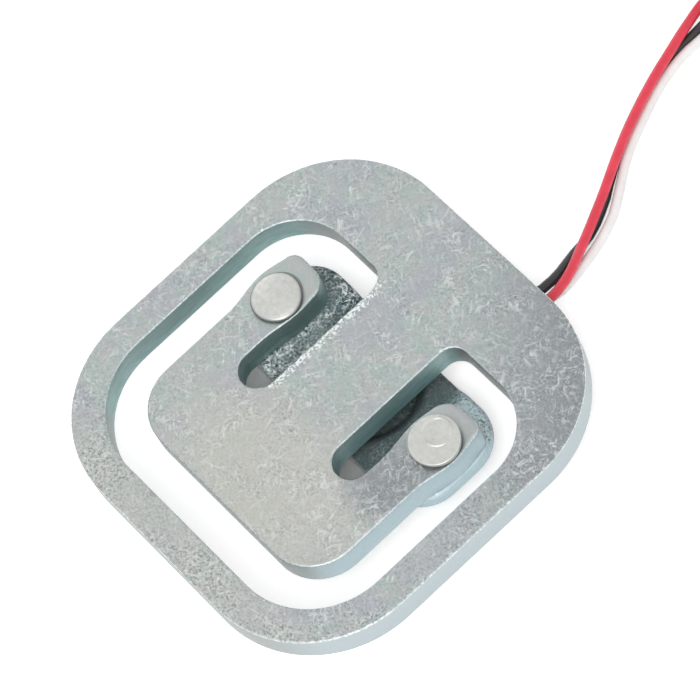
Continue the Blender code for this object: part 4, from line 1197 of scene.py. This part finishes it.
class LOADCELL_PG_metal(bpy.types.PropertyGroup):
    """Sizes and colours of the two plates and the rivets."""

    edge_roll: length_setting("Edge roll", "How far a blanked top edge is rolled in", 0.00017)
    arm_end_roll: length_setting("Arm end roll", "Further roll of the ends of the arms", 0.00032)
    burr: length_setting("Lower edge", "Rounding of the lower edges", 0.00010)
    grain: length_setting("Grain", "Size of the specks in the plating", 0.00020)
    face_colour: colour_setting("Face", "Plated faces", "#AEB2B1")
    green_colour: colour_setting("Green tint", "Greenish clouds", "#A8B3B0")
    violet_colour: colour_setting("Violet tint", "Bluish clouds", "#A8AAB1")
    tongue_colour: colour_setting("Tip bar", "Warmer tip bar", "#BABAB4")
    # Painted shade: the colour that the spring plate's face darkens to at its far corner and on the right arm
    shade_colour: colour_setting("Worn corner", "Worn corner and right arm", "#8F9397")
    # Painted shade: the colour of the bridge plate's face where the slots show it
    face_shade_colour: colour_setting("Dull face", "Face of the bridge plate", "#84908F")
    pit_colour: colour_setting("Pits", "Pits and dark specks", "#7A8081")
    pale_colour: colour_setting("Pale streaks", "Pale streaks", "#D2D6D5")
    rub_colour: colour_setting("Rubs", "Rubs and bright specks", "#E4E8E7")
    wall_colour: colour_setting("Wall", "Open sheared walls", "#B0BABD")
    # Painted light on the right arm's outer walls and at the bridge plate's right end
    painted_light_colour: colour_setting("Clean metal", "The right arm's outer side and the plate under it", "#C0D2D8")
    # Painted shade on the walls of the opening
    shaded_slot_wall: colour_setting("Slot wall", "Walls of the opening", "#A2BDBC")
    slot_shade: colour_setting("Slot bands", "Bands along them", "#90ACAB")
    # Also the colour of the bridge plate's deeper painted shade
    speck_and_shade_colour: colour_setting("Deep specks", "Specks and dirt of the bridge plate", "#384F57")
    # Rubbed edges and burr, painted bright as a highlight along them
    rubbed_edge_highlight: colour_setting("Edges", "Rubbed edges and burr", "#E6EBEA")
    burnished: colour_setting("Burnish", "Upper part of the walls", "#C0CAC9")
    # Painted shade on the walls that face along y
    facing_shade_colour: colour_setting("Broken wall", "Walls where the sheet broke", "#A2A7A6")
    rivet_colour: colour_setting("Rivet", "Rivet heads", "#CACBC7")
    # Painted shade: the colour of the shadow under and round the rivet heads
    painted_shade: colour_setting("Dirt", "Dirt under the heads", "#74777A")
    rivet_shade: colour_setting("Rivet marks", "Duller marks", "#BEBFBA")


class LOADCELL_PG_leads(bpy.types.PropertyGroup):
    """Sizes and colours of the leads."""

    diameter: length_setting("Diameter", "Outer diameter of a lead", 0.0008)
    conductor: length_setting("Conductor", "Diameter of the tinned strands", 0.00042)
    bare_end: length_setting("Bare end", "Length of the stripped end", 0.0035)
    length: length_setting("Length", "Length of a lead", 0.30)
    spacing: length_setting("Spacing", "Between the points of a route", 0.00108)
    red: colour_setting("Red", "Red insulation", "#EC3F54")
    red_shade: colour_setting("Red, shaded", "Its other tone", "#E0384D")
    black: colour_setting("Black", "Black insulation", "#2B2E31")
    black_shade: colour_setting("Black, shaded", "Its other tone", "#232629")
    white: colour_setting("White", "White insulation", "#F8F7F6")
    white_shade: colour_setting("White, shaded", "Its other tone", "#F2F0EF")


class LOADCELL_PG_stage(bpy.types.PropertyGroup):
    """Camera, light and floor."""

    lens: bpy.props.FloatProperty(
        name="Lens", description="Focal length for a 36 mm sensor", default=246.1, subtype="DISTANCE_CAMERA"
    )
    camera: bpy.props.FloatVectorProperty(
        name="Camera",
        description="Where the camera stands",
        default=(0.1695, -0.03917, 0.31872),
        subtype="XYZ",
    )
    surround: bpy.props.FloatProperty(
        name="Surround", description="Strength of the even light from all sides", default=0.60, min=0.0
    )
    key: bpy.props.FloatProperty(
        name="Key", description="Power of the main lamp", default=0.95, subtype="POWER"
    )
    fill: bpy.props.FloatProperty(
        name="Fill", description="Power of the second lamp", default=0.12, subtype="POWER"
    )
    glow: bpy.props.FloatProperty(
        name="Floor glow",
        description="Added to the lit floor, where 1 is white",
        default=0.50,
        min=0.0,
        max=1.0,
    )
    floor: colour_setting("Floor", "Colour of the floor", "#FCFCFC")


class LOADCELL_OT_spring_plate(bpy.types.Operator):
    """Build the stamped and zinc-plated spring plate"""

    bl_idname = "loadcell.spring_plate"
    bl_label = "Spring plate"

    def execute(self, context):
        settings = context.scene.loadcell_metal
        finish = zinc_plated_steel("zinc_plated_blanked_steel", settings, pressed=False)
        made = new_piece("blanked_spring_plate", spring_plate_mesh(settings), finish, "spring_plate")
        return {"FINISHED"}


class LOADCELL_OT_bridge_plate(bpy.types.Operator):
    """Build the pressed bridge plate with its load button"""

    bl_idname = "loadcell.bridge_plate"
    bl_label = "Bridge plate"

    def execute(self, context):
        finish = zinc_plated_steel("zinc_plated_pressed_steel", context.scene.loadcell_metal, pressed=True)
        made = new_piece("pressed_bridge_plate", bridge_plate_mesh(), finish, "bridge_plate")
        return {"FINISHED"}


class LOADCELL_OT_rivets(bpy.types.Operator):
    """Build the two closed rivets"""

    bl_idname = "loadcell.rivets"
    bl_label = "Rivets"

    def execute(self, context):
        finish = rivet_steel(context.scene.loadcell_metal)
        for side, x in (("left", -RIVET[0]), ("right", RIVET[0])):
            made = new_piece(f"headed_rivet_{side}", rivet_mesh(side, x), finish, f"rivet_{side}")
        return {"FINISHED"}


class LOADCELL_OT_gauge(bpy.types.Operator):
    """Finish the strain gauge, its solder joints and the silicone over them"""

    bl_idname = "loadcell.gauge"
    bl_label = "Gauge and silicone"

    def execute(self, context):
        finishes = {"gauge_film": polyimide_film(), "gauge_foil": constantan_foil()}
        solder, copper = tin_solder(), bpy.data.materials["tin_dipped_copper_strands"]
        for colour in ROUTES:
            finishes[f"solder_joint_{colour}"] = solder
            finishes[f"inner_end_{colour}"] = copper
        for node, finish in finishes.items():
            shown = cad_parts[node]
            shown.data.materials.clear()
            shown.data.materials.append(finish)
        made = new_piece("wiped_silicone_cover", silicone_mesh(), white_silicone(), "silicone_cover")
        return {"FINISHED"}


class LOADCELL_OT_leads(bpy.types.Operator):
    """Lay the three leads, with their coil and tinned ends"""

    bl_idname = "loadcell.leads"
    bl_label = "Leads"

    def execute(self, context):
        settings = context.scene.loadcell_leads
        copper = tinned_copper()
        for colour in ROUTES:
            points = lead_route(colour, settings.spacing)
            curve = lead_curve(f"{colour}_lead_line", points, settings.diameter, 6)
            finish = pvc_insulation(colour, getattr(settings, colour), getattr(settings, f"{colour}_shade"))
            made = new_piece(f"{colour}_lead", curve, finish, f"lead_{colour}", "lead_coil")
            middle = Vector((*COIL_CENTRE, 0.0))
            spoke = points[-1] - middle
            turned = settings.bare_end / spoke.length
            line = [middle + Matrix.Rotation(turned * (i / 24 - 0.02), 3, "Z") @ spoke for i in range(25)]
            mesh = strand_mesh(f"{colour}_strands", line, settings.conductor)
            end = new_piece(f"{colour}_tinned_end", mesh, copper, f"bare_end_{colour}")
        return {"FINISHED"}


class LOADCELL_OT_coil_band(bpy.types.Operator):
    """Put the band round the coil"""

    bl_idname = "loadcell.coil_band"
    bl_label = "Coil band"

    def execute(self, context):
        made = new_piece("strap_coil_band", band_mesh(), band_plastic(), "coil_band")
        return {"FINISHED"}


class LOADCELL_OT_stage(bpy.types.Operator):
    """Set the floor, the light and the camera"""

    bl_idname = "loadcell.stage"
    bl_label = "Stage"

    def execute(self, context):
        settings = context.scene.loadcell_stage
        scene = context.scene
        scene.view_settings.view_transform = "Standard"
        self.floor(settings)
        self.surround(scene, settings)
        self.lamp("key_lamp", *KEY_LAMP, settings.key)
        self.lamp("side_lamp", *SIDE_LAMP, settings.fill)
        self.camera(scene, settings)
        return {"FINISHED"}

    def camera(self, scene, settings):
        """A long lens from the photograph's angle."""
        data = bpy.data.cameras.new("camera")
        data.sensor_width = 36.0
        data.lens = settings.lens
        data.clip_start = 0.01
        camera = bpy.data.objects.new("camera", data)
        scene.collection.objects.link(camera)
        right = Vector(CAMERA_RIGHT).normalized()
        back = Vector(CAMERA_BACK).normalized()
        up = back.cross(right).normalized()
        right = up.cross(back)
        turn = Matrix((right, up, back)).transposed().to_4x4()
        camera.matrix_world = Matrix.Translation(settings.camera) @ turn
        scene.camera = camera

    def seen(self, tree):
        """1 for rays that see the floor or the surround straight, in a gloss or through glass, else 0."""
        rays = add_node(tree, "LightPath", output="Is Camera Ray").node.outputs
        straight = {0: rays["Is Camera Ray"], 1: rays["Is Glossy Ray"]}
        straight = add_node(tree, "Math", straight, operation="MAXIMUM")
        first = add_node(tree, "Math", {0: rays["Diffuse Depth"], 1: 0.5}, operation="LESS_THAN")
        seen = {0: straight, 1: rays["Is Transmission Ray"]}
        seen = add_node(tree, "Math", seen, operation="MAXIMUM")
        return add_node(tree, "Math", {0: seen, 1: first}, operation="MULTIPLY")

    def floor(self, settings):
        """A matt white floor that takes the object's shadow, with a faint glow that keeps it white,
        but not in the deep shade under the slots."""
        mesh = bpy.data.meshes.new("floor")
        corners = [(x * FLOOR_HALF, y * FLOOR_HALF, 0) for x, y in ((-1, -1), (1, -1), (1, 1), (-1, 1))]
        mesh.from_pydata(corners, [], [(0, 1, 2, 3)])
        floor = bpy.data.objects.new("floor", mesh)
        bpy.context.scene.collection.objects.link(floor)
        floor.location.z = -FLOOR_DROP
        made = bpy.data.materials.new("matt_white_floor")
        made.use_nodes = True
        tree = made.node_tree
        tree.nodes.clear()
        matt = add_node(tree, "BsdfDiffuse", {"Color": linear(settings.floor)})
        place = add_node(tree, "TexCoord", output="Object")
        place = add_node(tree, "VectorMath", (place, SHADE_OFFSET), operation="ADD")
        away = add_node(tree, "VectorMath", (place,), operation="ABSOLUTE")
        away = add_node(tree, "SeparateXYZ", {"Vector": away}, output="X")
        aside = add_node(tree, "MapRange", (away, *SHADE_SIDES))
        ahead = add_node(tree, "MapRange", (away.node.outputs["Y"], *SHADE_ENDS))
        open_floor = add_node(tree, "Math", (aside, ahead), operation="MAXIMUM")
        glow = add_node(tree, "Math", (self.seen(tree), settings.glow), operation="MULTIPLY")
        glow = add_node(tree, "Math", (glow, open_floor), operation="MULTIPLY")
        white = add_node(tree, "Emission", {"Color": (1.0, 1.0, 1.0, 1.0), "Strength": glow})
        both = add_node(tree, "AddShader", {0: matt, 1: white})
        add_node(tree, "OutputMaterial", {"Surface": both}, output=None)
        mesh.materials.append(made)

    def surround(self, scene, settings):
        """Even light from all sides, and white where it is seen itself."""
        world = bpy.data.worlds.new("surround")
        scene.world = world
        world.use_nodes = True
        tree = world.node_tree
        tree.nodes.clear()
        white = (1.0, 1.0, 1.0, 1.0)
        lit = add_node(tree, "Background", {"Color": white, "Strength": settings.surround})
        shown = add_node(tree, "Background", {"Color": white, "Strength": 1.0})
        mixed = add_node(tree, "MixShader", {0: self.seen(tree), 1: lit, 2: shown})
        add_node(tree, "OutputWorld", {"Surface": mixed}, output=None)

    def lamp(self, name, place, size, power):
        """A round soft lamp that shines at the load cell."""
        data = bpy.data.lights.new(name, "AREA")
        data.shape = "DISK"
        data.size = size
        data.energy = power
        lamp = bpy.data.objects.new(name, data)
        bpy.context.scene.collection.objects.link(lamp)
        lamp.location = place
        lamp.rotation_euler = (-Vector(place)).to_track_quat("-Z", "Y").to_euler()


class LOADCELL_PT_panel(bpy.types.Panel):
    """Lists the load cell's operators"""

    bl_idname = "LOADCELL_PT_panel"
    bl_label = "Load cell"
    bl_space_type = "VIEW_3D"
    bl_region_type = "UI"
    bl_category = "Load cell"

    def draw(self, context):
        """A button for each operator."""
        for operator in OPERATORS:
            self.layout.operator(operator.bl_idname)


GROUPS = {
    "loadcell_metal": LOADCELL_PG_metal,
    "loadcell_leads": LOADCELL_PG_leads,
    "loadcell_stage": LOADCELL_PG_stage,
}
OPERATORS = (
    LOADCELL_OT_stage,
    LOADCELL_OT_leads,
    LOADCELL_OT_spring_plate,
    LOADCELL_OT_bridge_plate,
    LOADCELL_OT_rivets,
    LOADCELL_OT_gauge,
    LOADCELL_OT_coil_band,
)
CLASSES = (*GROUPS.values(), *OPERATORS, LOADCELL_PT_panel)


def register():
    """Add the settings, the operators and the panel to Blender."""
    for made in CLASSES:
        bpy.utils.register_class(made)
    for name, group in GROUPS.items():
        setattr(bpy.types.Scene, name, bpy.props.PointerProperty(type=group))


def unregister():
    """Take them out again."""
    for name in GROUPS:
        delattr(bpy.types.Scene, name)
    for made in reversed(CLASSES):
        bpy.utils.unregister_class(made)


def main():
    """Build the stage and each piece."""
    register()
    for operator in OPERATORS:
        group, name = operator.bl_idname.split(".")
        getattr(getattr(bpy.ops, group), name)()


if __name__ == "__main__":
    main()
